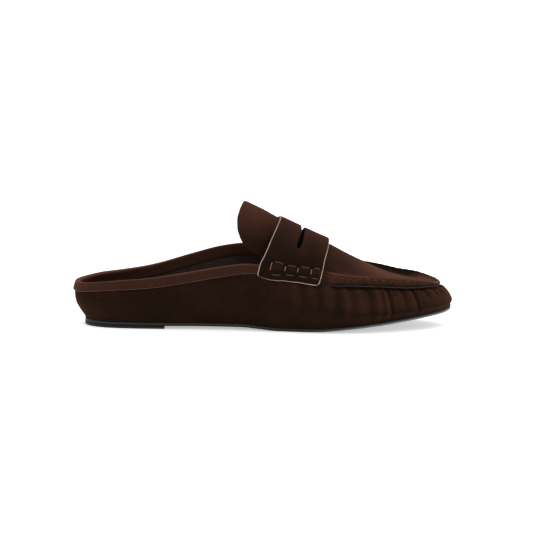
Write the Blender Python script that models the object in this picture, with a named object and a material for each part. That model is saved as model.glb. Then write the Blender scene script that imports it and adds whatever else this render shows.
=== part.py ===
"""Backless suede penny loafer for the right foot.

The toe points along +X, the outer (lateral) side of the foot is -Y, the inner (medial) side is +Y,
up is +Z, and the shoe stands on the plane z = 0. All sizes are in metres.

The side wall is a shell through four plan rings: the feather edge on the sole, the belly, the
shoulder and the rim. Everything above the sole takes its shape from that shell and from the arch
that crosses the instep between its two rims.
"""

import math

import bmesh
import bpy
import numpy as np

# Main sizes.
LENGTH = 0.260
BALL_WIDTH = 0.090
INSTEP_HEIGHT = 0.070
TOE_SPRING = 0.0120

# Sole.
OUTSOLE_THICKNESS = 0.0023
HEEL_LIFT_HEIGHT = 0.0016
HEEL_LIFT_LENGTH = 0.0550
SOLE_OVERHANG = 0.0004
SOLE_EDGE_ROUND = 0.0004
INSOLE_THICKNESS = 0.0032
INSOLE_INSET = 0.0025
INSOLE_FLARE = 0.0008

# Upper, and what is stitched to it.
WALL_THICKNESS = 0.0017
PLUG_THICKNESS = 0.0016
LIP_THICKNESS = 0.0018
LIP_DEPTH = 0.0100
LIP_BULGE = 0.0010
RIDGE_SEAT = 0.0042
VALLEY_DEPTH = 0.0026
VALLEY_REACH = 0.0046
TONGUE_THICKNESS = 0.0020
TONGUE_TUCK = 0.0048
TONGUE_FOOT = 0.0050
BAND_THICKNESS = 0.0009
BAND_DEPTH = 0.0072
BAND_INNER_DEPTH = 0.0070
STRAP_THICKNESS = 0.0014
STRAP_FRONT_PAD = 0.0019
STRAP_DEPTH = 0.0136
STRAP_CORNER = 0.0010
STRAP_SPREAD = 0.0008
SLOT_HALF_WIDTH = 0.0018
SLOT_SEAM = 0.0005

# Clearances.
GAP = 0.0003

# Half breadths of the four rings, as shares of the ball width. "along" is the share of the ring's
# own length from its back to its tip. "lat" is the outer side of the foot, "med" the inner side.
PLAN_COLUMNS = (
    "along",
    "feather_lat",
    "feather_med",
    "belly_lat",
    "belly_med",
    "shoulder_lat",
    "shoulder_med",
    "rim_lat",
    "rim_med",
)
PLAN = (
    (0.000, 0.000, 0.000, 0.000, 0.000, 0.000, 0.000, 0.000, 0.000),
    (0.020, 0.155, 0.155, 0.180, 0.180, 0.172, 0.172, 0.155, 0.155),
    (0.060, 0.232, 0.232, 0.280, 0.280, 0.272, 0.272, 0.250, 0.250),
    (0.120, 0.270, 0.266, 0.320, 0.318, 0.315, 0.314, 0.297, 0.296),
    (0.200, 0.283, 0.262, 0.336, 0.326, 0.334, 0.325, 0.317, 0.312),
    (0.300, 0.286, 0.236, 0.346, 0.318, 0.344, 0.322, 0.333, 0.318),
    (0.420, 0.308, 0.232, 0.374, 0.332, 0.368, 0.342, 0.354, 0.338),
    (0.540, 0.366, 0.314, 0.434, 0.402, 0.411, 0.401, 0.370, 0.364),
    (0.640, 0.414, 0.398, 0.480, 0.474, 0.430, 0.446, 0.352, 0.366),
    (0.720, 0.420, 0.442, 0.482, 0.510, 0.404, 0.454, 0.318, 0.350),
    (0.800, 0.374, 0.422, 0.430, 0.482, 0.346, 0.416, 0.272, 0.320),
    (0.870, 0.306, 0.374, 0.352, 0.422, 0.284, 0.358, 0.237, 0.283),
    (0.930, 0.216, 0.296, 0.255, 0.338, 0.205, 0.286, 0.178, 0.231),
    (0.975, 0.115, 0.205, 0.140, 0.235, 0.112, 0.198, 0.100, 0.162),
    (1.000, -0.044, 0.044, -0.044, 0.044, -0.044, 0.044, -0.044, 0.044),
)

# How far each ring stops short of the shoe's back and of its toe, as shares of the length.
RING_ENDS_COLUMNS = ("ring", "back", "tip")
RING_ENDS = (
    ("feather", 0.0338, 0.0046),
    ("belly", 0.0092, 0.0000),
    ("shoulder", 0.0050, 0.0165),
    ("rim", 0.0100, 0.0408),
)

# Underside of the outsole: "heel" is a share of the heel seat's height, "toe" of the toe spring.
GROUND_COLUMNS = ("along", "heel", "toe")
GROUND = (
    (0.000, 1.00, 0.000),
    (0.250, 1.00, 0.000),
    (0.335, 1.06, 0.000),
    (0.442, 1.00, 0.000),
    (0.495, 0.50, 0.000),
    (0.540, 0.00, 0.000),
    (0.600, 0.00, 0.000),
    (0.640, 0.00, 0.015),
    (0.665, 0.00, 0.052),
    (0.712, 0.00, 0.150),
    (0.756, 0.00, 0.245),
    (0.810, 0.00, 0.373),
    (0.875, 0.00, 0.560),
    (0.936, 0.00, 0.735),
    (0.973, 0.00, 0.850),
    (1.000, 0.00, 1.000),
)

# Height of the finished top edge above the sole, as a share of the instep height, and where the
# belly and the shoulder lie, as shares of the wall's height there. "band" is the depth of the collar
# band there, as a share of its depth at the heel.
SIDE_COLUMNS = ("along", "edge_lat", "edge_med", "belly", "shoulder", "band")
SIDE = (
    (0.000, 0.366, 0.366, 0.43, 0.80, 0.76),
    (0.030, 0.368, 0.380, 0.43, 0.80, 0.75),
    (0.070, 0.386, 0.400, 0.46, 0.80, 0.74),
    (0.120, 0.405, 0.416, 0.49, 0.81, 0.76),
    (0.200, 0.428, 0.457, 0.50, 0.81, 0.81),
    (0.310, 0.487, 0.565, 0.47, 0.80, 0.80),
    (0.390, 0.545, 0.645, 0.45, 0.79, 0.80),
    (0.460, 0.592, 0.686, 0.43, 0.78, 0.80),
    (0.520, 0.607, 0.695, 0.40, 0.75, 0.80),
    (0.600, 0.589, 0.657, 0.36, 0.72, 0.80),
    (0.670, 0.532, 0.590, 0.33, 0.70, 0.80),
    (0.735, 0.469, 0.528, 0.31, 0.70, 0.80),
    (0.810, 0.419, 0.456, 0.29, 0.72, 0.80),
    (0.860, 0.374, 0.396, 0.28, 0.74, 0.80),
    (0.915, 0.321, 0.344, 0.28, 0.75, 0.80),
    (0.945, 0.282, 0.296, 0.30, 0.76, 0.80),
    (0.965, 0.252, 0.252, 0.31, 0.76, 0.80),
    (1.000, 0.198, 0.198, 0.31, 0.76, 0.80),
)

# The seam round the plug, as shares of the ridge seat, the lip depth, the lip thickness and the
# valley depth: how far the wall's rim lies below the finished edge, how deep and thick the turned
# lip is, and how far the plug dips beside its ridge.
SEAM_COLUMNS = ("along", "seat", "lip", "thick", "valley")
SEAM = (
    (0.000, 0.286, 0.70, 0.50, 0.00),
    (0.490, 0.286, 0.70, 0.50, 0.00),
    (0.530, 0.476, 0.75, 0.50, 0.00),
    (0.600, 0.500, 0.90, 0.50, 0.00),
    (0.655, 0.524, 1.08, 0.50, 0.00),
    (0.685, 0.740, 1.12, 0.80, 0.45),
    (0.720, 1.000, 0.97, 1.00, 0.90),
    (0.810, 1.000, 0.90, 1.00, 1.00),
    (0.865, 0.980, 0.87, 1.00, 0.92),
    (0.915, 0.780, 0.70, 0.90, 0.55),
    (0.945, 0.520, 0.50, 0.80, 0.20),
    (0.965, 0.360, 0.32, 0.75, 0.00),
    (1.000, 0.360, 0.32, 0.75, 0.00),
)

# Middle line of the tongue and plug above the sole, as a share of the instep height, and how the
# arch between the rims is rounded: a larger "spread" is a flatter top, a smaller "power" a fuller side.
CROWN_COLUMNS = ("along", "crown", "spread", "power")
CROWN = (
    (0.380, 1.248, 1.70, 0.62),
    (0.420, 1.199, 1.70, 0.62),
    (0.452, 1.156, 1.70, 0.62),
    (0.500, 1.086, 1.70, 0.62),
    (0.549, 0.999, 1.72, 0.62),
    (0.610, 0.877, 1.75, 0.62),
    (0.677, 0.738, 1.80, 0.66),
    (0.716, 0.646, 1.85, 0.72),
    (0.758, 0.553, 1.90, 0.80),
    (0.790, 0.483, 2.00, 0.86),
    (0.820, 0.423, 2.00, 0.92),
    (0.857, 0.363, 2.00, 1.00),
    (0.890, 0.318, 2.00, 1.00),
    (0.925, 0.283, 2.00, 1.00),
    (0.965, 0.252, 2.00, 1.00),
    (1.000, 0.198, 2.00, 1.00),
)

# Free back edge of the tongue: how far along the shoe it lies, on its outer and its inner half, by
# share of the way from the crown down to the tongue's foot.
TONGUE_EDGE_COLUMNS = ("down", "outer", "inner")
TONGUE_EDGE = (
    (0.00, 0.4499, 0.4499),
    (0.20, 0.4442, 0.4505),
    (0.40, 0.4375, 0.4465),
    (0.58, 0.4329, 0.4410),
    (0.72, 0.4334, 0.4375),
    (0.82, 0.4393, 0.4410),
    (0.90, 0.4586, 0.4590),
    (0.95, 0.4900, 0.4880),
    (1.00, 0.5060, 0.5060),
)

# Back and front edge of the saddle strap along the shoe. "way" runs from 0 at the crown over the
# arch to 1 at the rim, and on to 2 at the strap's lower end.
STRAP_EDGE_COLUMNS = ("way", "back", "front")
STRAP_EDGE = (
    (0.00, 0.5434, 0.6683),
    (0.20, 0.5411, 0.6683),
    (0.40, 0.5357, 0.6672),
    (0.55, 0.5303, 0.6656),
    (0.70, 0.5233, 0.6632),
    (0.80, 0.5172, 0.6608),
    (0.88, 0.5116, 0.6588),
    (0.94, 0.5056, 0.6573),
    (0.98, 0.4994, 0.6561),
    (1.00, 0.4930, 0.6550),
    (1.25, 0.4903, 0.6526),
    (1.50, 0.4886, 0.6500),
    (1.75, 0.4872, 0.6475),
    (2.00, 0.4860, 0.6452),
)

# How far the strap reaches below the rim, as a share of its depth at the front, by share of the way
# from its back edge to its front edge.
STRAP_HEM_COLUMNS = ("width", "depth")
STRAP_HEM = (
    (0.00, 0.545),
    (0.08, 0.675),
    (0.22, 0.750),
    (0.38, 0.765),
    (0.50, 0.825),
    (0.62, 0.855),
    (0.76, 0.915),
    (1.00, 0.945),
)

# Single places, as shares. The slot lies by share of the strap's width and of the way down the
# arch; "hug" is the share down the strap's side where it starts to draw in. The joint is the seam
# between tongue and plug under the strap. The plug's middle line stops "pole" short of the rim's tip.
SHARES = {
    "slot_along_strap": 0.485,
    "slot_down_arch": 0.80,
    "hug": 0.85,
    "joint_crown": 0.5846,
    "joint_rim": 0.5230,
    "band_end": 0.5170,
    "pole": 0.0420,
}

# Counts of sections.
WALL_COLUMNS = 96
WALL_ROWS = 9
PLUG_COLUMNS = 54
BAND_COLUMNS = 58
SOLE_SECTIONS = 48
TONGUE_ROWS = 23
TONGUE_STEPS = 8
TRACE = 260

COLOURS = {
    "suede": (0.022, 0.010, 0.007),
    "suede_light": (0.045, 0.019, 0.012),
    "lining": (0.012, 0.009, 0.008),
    "sole": (0.010, 0.010, 0.011),
}


def column(table, names, name):
    """One named column of a table, as an array."""
    place = names.index(name)
    return np.array([row[place] for row in table], float)


def through(knots, values, at, gentle=False):
    """Smooth curve through the knots. The gentle kind never passes beyond its knots' values."""
    knots = np.asarray(knots, float)
    values = np.asarray(values, float)
    at = np.clip(np.asarray(at, float), knots[0], knots[-1])
    steps = np.diff(knots)
    grades = np.diff(values) / steps
    before, after = grades[:-1], grades[1:]
    inner = (before * steps[1:] + after * steps[:-1]) / (steps[1:] + steps[:-1])
    if gentle:
        same_way = before * after > 0
        safe = np.where(same_way, before + after, 1.0)
        inner = np.where(same_way, 2 * before * after / safe, 0.0)
    slopes = np.concatenate([grades[:1], inner, grades[-1:]])
    place = np.clip(np.searchsorted(knots, at, side="right") - 1, 0, len(steps) - 1)
    step = steps[place]
    t = (at - knots[place]) / step
    start, end = values[place], values[place + 1]
    rise_start, rise_end = slopes[place] * step, slopes[place + 1] * step
    return (
        start * (1 + 2 * t) * (1 - t) ** 2
        + rise_start * t * (1 - t) ** 2
        + end * t * t * (3 - 2 * t)
        + rise_end * t * t * (t - 1)
    )


def placed(share):
    """Place along the shoe, counted from its middle, of a share of its length."""
    return (share - 0.5) * LENGTH


def looked_up(table, names, name, x, gentle=False):
    """A column's value at x, where the table runs along the whole shoe."""
    return through(
        column(table, names, "along"), column(table, names, name), x / LENGTH + 0.5, gentle
    )


def by_way(table, names, name, at):
    """A column's value, where the table's first column is its own measure."""
    return through(column(table, names, names[0]), column(table, names, name), at, gentle=True)


def ground_line(x):
    """Underside of the outsole."""
    seat = HEEL_LIFT_HEIGHT + GAP
    heel = looked_up(GROUND, GROUND_COLUMNS, "heel", x, gentle=True)
    toe = looked_up(GROUND, GROUND_COLUMNS, "toe", x, gentle=True)
    return seat * heel + TOE_SPRING * toe


def sole_line(x):
    """Top of the outsole."""
    return ground_line(x) + OUTSOLE_THICKNESS


def ring_ends(ring):
    """Back and tip of a ring along X."""
    rows = {row[0]: row for row in RING_ENDS}
    _, back, tip = rows[ring]
    return (back - 0.5) * LENGTH, (0.5 - tip) * LENGTH


def ring_turns():
    """The turn of each row of the plan table: 0 at the back, half a circle at the tip."""
    return np.arccos(1 - 2 * column(PLAN, PLAN_COLUMNS, "along"))


def ring_plan(ring, turn):
    """Plan of a ring. The turn runs from the back along the outer side to the tip, and back inside."""
    turns = ring_turns()
    outer = -column(PLAN, PLAN_COLUMNS, ring + "_lat")
    inner = column(PLAN, PLAN_COLUMNS, ring + "_med")
    knots = np.concatenate([turns, 2 * math.pi - turns[-2::-1]])
    values = np.concatenate([outer, inner[-2::-1]])
    more = 3
    knots = np.concatenate(
        [knots[-more - 1 : -1] - 2 * math.pi, knots, knots[1 : more + 1] + 2 * math.pi]
    )
    values = np.concatenate([values[-more - 1 : -1], values, values[1 : more + 1]])
    back, tip = ring_ends(ring)
    x = back + (tip - back) * (1 - np.cos(turn)) / 2
    y = BALL_WIDTH * through(knots, values, np.mod(turn, 2 * math.pi))
    return x, y


def edge_height(x, turn):
    """Height of the finished top edge, by side."""
    outer = looked_up(SIDE, SIDE_COLUMNS, "edge_lat", x)
    inner = looked_up(SIDE, SIDE_COLUMNS, "edge_med", x)
    on_outer = np.sin(turn) >= 0
    return sole_line(x) + INSTEP_HEIGHT * np.where(on_outer, outer, inner)


def seam(name, x):
    """A column of the seam table at x."""
    return looked_up(SEAM, SEAM_COLUMNS, name, x)


def rim_height(x, turn):
    """Height of the wall's own rim, under the band or the plug."""
    return edge_height(x, turn) - RIDGE_SEAT * seam("seat", x)


def wall(turn, up):
    """Outer face of the side wall: "up" is 0 at the feather edge and 1 at the rim."""
    turn, up = np.broadcast_arrays(np.asarray(turn, float), np.asarray(up, float))
    foot_x, foot_y = ring_plan("feather", turn)
    rim_x, rim_y = ring_plan("rim", turn)
    foot_z = sole_line(foot_x) + GAP
    rim_z = rim_height(rim_x, turn)
    rings = [np.stack([foot_x, foot_y, foot_z], -1)]
    for ring in ("belly", "shoulder"):
        x, y = ring_plan(ring, turn)
        share = looked_up(SIDE, SIDE_COLUMNS, ring, x)
        rings.append(np.stack([x, y, foot_z + share * (rim_z - foot_z)], -1))
    rings.append(np.stack([rim_x, rim_y, rim_z], -1))
    knots = (0.0, 0.36, 0.74, 1.0)
    slopes = [
        (rings[1] - rings[0]) * 1.35 / knots[1],
        (rings[2] - rings[0]) / knots[2],
        (rings[3] - rings[1]) / (1 - knots[1]),
        (rings[3] - rings[2]) / (1 - knots[2]),
    ]
    place = np.clip(np.searchsorted(knots, up, side="right") - 1, 0, 2)
    result = np.zeros(turn.shape + (3,))
    for part in range(3):
        step = knots[part + 1] - knots[part]
        t = ((up - knots[part]) / step)[..., None]
        piece = (
            rings[part] * (1 + 2 * t) * (1 - t) ** 2
            + slopes[part] * step * t * (1 - t) ** 2
            + rings[part + 1] * t * t * (3 - 2 * t)
            + slopes[part + 1] * step * t * t * (t - 1)
        )
        result = np.where((place == part)[..., None], piece, result)
    return result


def unit(vectors):
    """Vectors of length one."""
    return vectors / np.linalg.norm(vectors, axis=-1, keepdims=True)


def wall_frame(turn, up):
    """Point on the wall, its outward direction, and the direction up the wall."""
    small = 1e-4
    turn = np.asarray(turn, float)
    low = np.clip(np.asarray(up, float) - small, 0, 1)
    high = np.clip(np.asarray(up, float) + small, 0, 1)
    point = wall(turn, up)
    along = wall(turn + small, up) - wall(turn - small, up)
    rise = unit(wall(turn, high) - wall(turn, low))
    return point, unit(np.cross(along, rise)), rise


def up_at_depth(turn, depth):
    """Share up the wall that lies a given distance below the rim, measured down the wall."""
    turn = np.atleast_1d(np.asarray(turn, float))
    depth = np.broadcast_to(np.asarray(depth, float), turn.shape)
    shares = np.linspace(1, 0.3, 29)
    line = wall(turn[:, None], shares[None, :])
    lengths = np.linalg.norm(np.diff(line, axis=1), axis=-1)
    run = np.concatenate([np.zeros((len(turn), 1)), np.cumsum(lengths, axis=1)], axis=1)
    return np.array([np.interp(d, r, shares) for d, r in zip(depth, run)])


def turn_at(x, outer, ring="rim"):
    """Turn of a ring at x, on its outer or its inner side."""
    back, tip = ring_ends(ring)
    share = np.clip((np.asarray(x, float) - back) / (tip - back), 0, 1)
    turn = np.arccos(1 - 2 * share)
    return turn if outer else 2 * math.pi - turn


def arch(x, across, wider=0.0):
    """Surface of the instep between the rims: "across" runs from -1, outer side, to 1, inner side."""
    x, across = np.broadcast_arrays(np.asarray(x, float), np.asarray(across, float))
    outer_turn, inner_turn = turn_at(x, True), turn_at(x, False)
    _, outer_y = ring_plan("rim", outer_turn)
    _, inner_y = ring_plan("rim", inner_turn)
    outer_z, inner_z = edge_height(x, outer_turn), edge_height(x, inner_turn)
    middle_y, half = (outer_y + inner_y) / 2, (inner_y - outer_y) / 2 + wider
    middle_z, lean = (outer_z + inner_z) / 2, (inner_z - outer_z) / 2
    crown = sole_line(x) + INSTEP_HEIGHT * looked_up(CROWN, CROWN_COLUMNS, "crown", x)
    spread = looked_up(CROWN, CROWN_COLUMNS, "spread", x)
    power = looked_up(CROWN, CROWN_COLUMNS, "power", x)
    share = np.clip(1 - np.abs(across) ** spread, 0, 1) ** power
    z = middle_z + lean * across + (crown - middle_z) * share
    return np.stack([x, middle_y + half * across, z], -1)


def arch_out(x, across):
    """Outward direction of the arch."""
    small_x, small = 1e-4 * LENGTH, 1e-3
    held = np.clip(across, -0.985, 0.985)
    along = arch(x + small_x, held) - arch(x - small_x, held)
    over = arch(x, held + small) - arch(x, held - small)
    return unit(np.cross(along, over))


def sheet_faces(rows, columns, closed=False, skip=()):
    """Quads of a grid of points, row by row. Cells named in skip stay open."""
    faces = []
    for i in range(rows if closed else rows - 1):
        for j in range(columns - 1):
            if (i, j) in skip:
                continue
            after = (i + 1) % rows
            faces.append(
                (i * columns + j, i * columns + j + 1, after * columns + j + 1, after * columns + j)
            )
    return faces


def thick_sheet(name, front, back, faces, colour):
    """A solid from two layers of matching points, closed along every free edge."""
    front = np.asarray(front, float).reshape(-1, 3)
    back = np.asarray(back, float).reshape(-1, 3)
    count = len(front)
    uses = {}
    for face in faces:
        for start, end in zip(face, face[1:] + face[:1]):
            uses.setdefault(frozenset((start, end)), []).append((start, end))
    solid = list(faces)
    solid += [tuple(count + corner for corner in reversed(face)) for face in faces]
    for ends in uses.values():
        if len(ends) == 1:
            start, end = ends[0]
            solid.append((end, start, start + count, end + count))
    return make_object(name, np.concatenate([front, back]), solid, colour)


def swept_body(name, loops, colour):
    """A solid through closed loops of points, capped at both ends."""
    loops = np.asarray(loops, float)
    sections, corners = loops.shape[:2]
    faces = []
    for i in range(sections - 1):
        for j in range(corners):
            after = (j + 1) % corners
            faces.append(
                (
                    i * corners + j,
                    i * corners + after,
                    (i + 1) * corners + after,
                    (i + 1) * corners + j,
                )
            )
    faces.append(tuple(reversed(range(corners))))
    faces.append(tuple((sections - 1) * corners + j for j in range(corners)))
    return make_object(name, loops.reshape(-1, 3), faces, colour)


def make_object(name, points, faces, colour):
    """A named mesh object with its own material, unused points dropped and faces outward."""
    used = sorted({corner for face in faces for corner in face})
    place = {old: new for new, old in enumerate(used)}
    mesh = bpy.data.meshes.new(name)
    mesh.from_pydata(
        [tuple(points[old]) for old in used],
        [],
        [tuple(place[corner] for corner in face) for face in faces],
    )
    shaped = bmesh.new()
    shaped.from_mesh(mesh)
    bmesh.ops.recalc_face_normals(shaped, faces=shaped.faces)
    shaped.to_mesh(mesh)
    shaped.free()
    mesh.shade_smooth()
    mesh.set_sharp_from_angle(angle=math.radians(40))
    made = bpy.data.objects.new(name, mesh)
    bpy.context.collection.objects.link(made)
    material = bpy.data.materials.new(name)
    material.use_nodes = True
    shader = material.node_tree.nodes["Principled BSDF"]
    shader.inputs["Base Color"].default_value = (*COLOURS[colour], 1)
    shader.inputs["Roughness"].default_value = 0.9 if colour != "sole" else 0.6
    shader.inputs["Metallic"].default_value = 0
    mesh.materials.append(material)
    return made


def sole_plan(turn, outward):
    """Half breadths of the feather ring, moved outward all round, with its x."""
    back, tip = ring_ends("feather")
    back, tip = back - outward, tip + outward
    x = back + (tip - back) * (1 - np.cos(turn)) / 2
    _, outer = ring_plan("feather", turn)
    _, inner = ring_plan("feather", 2 * math.pi - turn)
    shift = outward * np.sin(turn)
    return x, outer - shift, inner + shift


def build_outsole():
    """The thin sole, full length, a little proud of the upper."""
    turns = np.linspace(math.radians(4), math.radians(176), SOLE_SECTIONS)
    x, outer, inner = sole_plan(turns, SOLE_OVERHANG)
    shrink = SOLE_EDGE_ROUND * np.sin(turns)
    low, high = ground_line(x), sole_line(x)
    loops = []
    for i in range(len(turns)):
        loops.append(
            [
                (x[i], outer[i] + shrink[i], low[i]),
                (x[i], inner[i] - shrink[i], low[i]),
                (x[i], inner[i], low[i] + SOLE_EDGE_ROUND),
                (x[i], inner[i], high[i] - SOLE_EDGE_ROUND / 2),
                (x[i], inner[i] - shrink[i], high[i]),
                (x[i], outer[i] + shrink[i], high[i]),
                (x[i], outer[i], high[i] - SOLE_EDGE_ROUND / 2),
                (x[i], outer[i], low[i] + SOLE_EDGE_ROUND),
            ]
        )
    return swept_body("outsole", loops, "sole")


def build_heel_lift():
    """The low heel, flat underneath, as wide as the sole above it."""
    back, tip = ring_ends("feather")
    last = math.acos(1 - 2 * HEEL_LIFT_LENGTH / (tip - back))
    turns = np.linspace(math.radians(4), last, 16)
    x, outer, inner = sole_plan(turns, SOLE_OVERHANG)
    shrink = SOLE_EDGE_ROUND * np.sin(turns)
    high = HEEL_LIFT_HEIGHT
    loops = []
    for i in range(len(turns)):
        loops.append(
            [
                (x[i], outer[i] + shrink[i], 0),
                (x[i], inner[i] - shrink[i], 0),
                (x[i], inner[i], SOLE_EDGE_ROUND),
                (x[i], inner[i], high),
                (x[i], outer[i], high),
                (x[i], outer[i], SOLE_EDGE_ROUND),
            ]
        )
    return swept_body("heel_lift", loops, "sole")


def build_insole():
    """The footbed, inside the wall."""
    turns = np.linspace(math.radians(5), math.radians(175), 40)
    x, outer, inner = sole_plan(turns, -INSOLE_INSET)
    flare = INSOLE_FLARE * np.sin(turns)
    low = sole_line(x) + GAP
    high = low + INSOLE_THICKNESS
    loops = []
    for i in range(len(turns)):
        loops.append(
            [
                (x[i], outer[i], low[i]),
                (x[i], inner[i], low[i]),
                (x[i], inner[i] + flare[i], high[i]),
                (x[i], outer[i] - flare[i], high[i]),
            ]
        )
    return swept_body("insole", loops, "lining")


def build_upper():
    """The suede side wall: one shell, open on top and underneath."""
    turns = np.linspace(0, 2 * math.pi, WALL_COLUMNS, endpoint=False)
    ups = np.linspace(0, 1, WALL_ROWS)
    point, out, _ = wall_frame(turns[:, None], np.broadcast_to(ups, (WALL_COLUMNS, WALL_ROWS)))
    faces = sheet_faces(WALL_COLUMNS, WALL_ROWS, closed=True)
    return thick_sheet("upper", point, point - WALL_THICKNESS * out, faces, "suede")


def build_collar_band():
    """The binding folded over the collar, from under the strap round the heel."""
    band_end = placed(SHARES["band_end"])
    start, end = turn_at(band_end, True), turn_at(band_end, False)
    turns = np.linspace(start, end - 2 * math.pi, BAND_COLUMNS)
    rim, out, rise = wall_frame(turns, 1.0)
    face = GAP + BAND_THICKNESS
    front, back = [], []
    reach = BAND_DEPTH * looked_up(SIDE, SIDE_COLUMNS, "band", rim[:, 0])
    for depth in (reach, reach / 2, GAP):
        point, away, _ = wall_frame(turns, up_at_depth(turns, depth))
        front.append(point + face * away)
        back.append(point + GAP * away)
    inner_edge = WALL_THICKNESS + face
    inner_clear = WALL_THICKNESS + GAP
    over = (
        (0.75 * face, 0.72 * face, GAP, 0.9 * GAP),
        (0.0, face, 0.0, GAP),
        (-WALL_THICKNESS, face, -WALL_THICKNESS, GAP),
        (-WALL_THICKNESS - 0.75 * face, 0.72 * face, -inner_clear, 0.9 * GAP),
    )
    for front_out, front_up, back_out, back_up in over:
        front.append(rim + front_out * out + front_up * rise)
        back.append(rim + back_out * out + back_up * rise)
    for depth in (GAP, BAND_INNER_DEPTH / 2, BAND_INNER_DEPTH):
        point, away, _ = wall_frame(turns, up_at_depth(turns, depth))
        front.append(point - inner_edge * away)
        back.append(point - inner_clear * away)
    front, back = np.stack(front, 1), np.stack(back, 1)
    faces = sheet_faces(BAND_COLUMNS, front.shape[1])
    return thick_sheet("collar_band", front, back, faces, "suede_light")


def valley_shape(reach):
    """Dip beside the ridge: nothing at the ridge, full at a reach of 1, then fading."""
    reach = np.clip(reach, 0, None)
    return (reach * np.exp(1 - reach)) ** 1.5


def build_plug():
    """The apron over the toes, with its ridge and the lip turned down over the wall."""
    joint_rim = placed(SHARES["joint_rim"])
    start, end = turn_at(joint_rim, True), turn_at(joint_rim, False)
    turns = np.linspace(start, end, PLUG_COLUMNS + 1)
    rim, out, rise = wall_frame(turns, 1.0)
    rim_x = rim[:, 0]
    tip = ring_ends("rim")[1]
    pole = tip - SHARES["pole"] * LENGTH
    joint_crown = placed(SHARES["joint_crown"])
    centre_x = joint_crown + (rim_x - joint_rim) * (pole - joint_crown) / (tip - joint_rim)
    centre = arch(centre_x, 0.0)
    thick = GAP + LIP_THICKNESS * seam("thick", rim_x)[:, None]
    edge = np.stack([rim_x, rim[:, 1], edge_height(rim_x, turns)], -1)
    seat = (RIDGE_SEAT * seam("seat", rim_x))[:, None]
    lip = LIP_DEPTH * seam("lip", rim_x) - seat[:, 0]
    flat_out = unit(out * np.array([1, 1, 0]))
    lift = np.array([0, 0, 1.0])
    front, back = [], []
    for depth in (lip, lip / 2):
        point, away, _ = wall_frame(turns, up_at_depth(turns, depth))
        front.append(point + thick * away)
        back.append(point + GAP * away)
    front.append(rim + thick * out)
    front.append(edge + 0.75 * thick * flat_out - 0.3 * seat * lift)
    front.append(edge)
    back += [rim + GAP * out, rim + GAP * out + GAP * rise, rim + GAP * rise]
    foot = front[0]
    full = np.clip(2 * seam("thick", rim_x) - 1, 0, 1)[:, None]
    for i in (1, 2, 3):
        t = i / 4
        bowed = foot + (edge - foot) * t + 4 * t * (1 - t) * LIP_BULGE * unit(flat_out + lift)
        front[i] = front[i] + full * (bowed - front[i])
    valley = seam("valley", rim_x)
    for share in (0.05, 0.10, 0.17, 0.26, 0.38, 0.52, 0.68, 0.84, 1.0):
        plan = edge + (centre - edge) * share
        outer_y = ring_plan("rim", turn_at(plan[:, 0], True))[1]
        inner_y = ring_plan("rim", turn_at(plan[:, 0], False))[1]
        across = (2 * plan[:, 1] - outer_y - inner_y) / (inner_y - outer_y)
        across = np.clip(across, -0.999, 0.999)
        if share == 1.0:
            across = across * 0
        top = arch(plan[:, 0], across)
        away = arch_out(plan[:, 0], across)
        distance = np.sum((edge - plan) * flat_out, axis=1)
        dip = VALLEY_DEPTH * valley * valley_shape(distance / VALLEY_REACH)
        top[:, 2] -= dip
        under = top - PLUG_THICKNESS * away
        level = rim[:, 2] + GAP
        near = (distance < WALL_THICKNESS + 2 * GAP) * np.clip(valley / 0.4, 0, 1)
        under[:, 2] += near * (np.minimum(under[:, 2], level) - under[:, 2])
        front.append(top)
        back.append(under)
    front, back = np.stack(front, 1), np.stack(back, 1)
    rows, columns = front.shape[:2]
    faces = []
    for face in sheet_faces(rows, columns):
        faces.append(tuple(mirrored_centre(corner, rows, columns) for corner in face))
    return thick_sheet("plug", front, back, faces, "suede")


def mirrored_centre(corner, rows, columns):
    """On the plug's middle line the two sides share their points."""
    row, place = divmod(corner, columns)
    if place == columns - 1 and row > (rows - 1) // 2:
        row = rows - 1 - row
    return row * columns + place


def build_tongue():
    """The flap behind the strap. Its sides tuck inside the collar."""
    downs = np.sin(np.linspace(-math.pi / 2, math.pi / 2, TONGUE_ROWS))
    steps = np.linspace(0, 1, TONGUE_STEPS)
    front, back = [], []
    for down in downs:
        far = abs(down)
        half = "outer" if down < 0 else "inner"
        start = placed(by_way(TONGUE_EDGE, TONGUE_EDGE_COLUMNS, half, far))
        joint = SHARES["joint_rim"] * far + SHARES["joint_crown"] * (1 - far)
        end = placed(joint) - 1.3 * GAP
        x = start + (end - start) * steps
        across = down * 0.985
        point, away = arch(x, across), arch_out(x, across)
        tuck = TONGUE_TUCK * np.clip((far - 0.45) / 0.5, 0, 1) ** 1.6
        flat = unit(away * np.array([1, 1, 0]))
        point = point - tuck * flat
        point[:, 2] -= TONGUE_FOOT * np.clip((far - 0.8) / 0.2, 0, 1)
        front.append(point)
        back.append(point - TONGUE_THICKNESS * away)
    faces = sheet_faces(TONGUE_ROWS, TONGUE_STEPS)
    return thick_sheet("tongue", np.stack(front), np.stack(back), faces, "suede")


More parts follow.
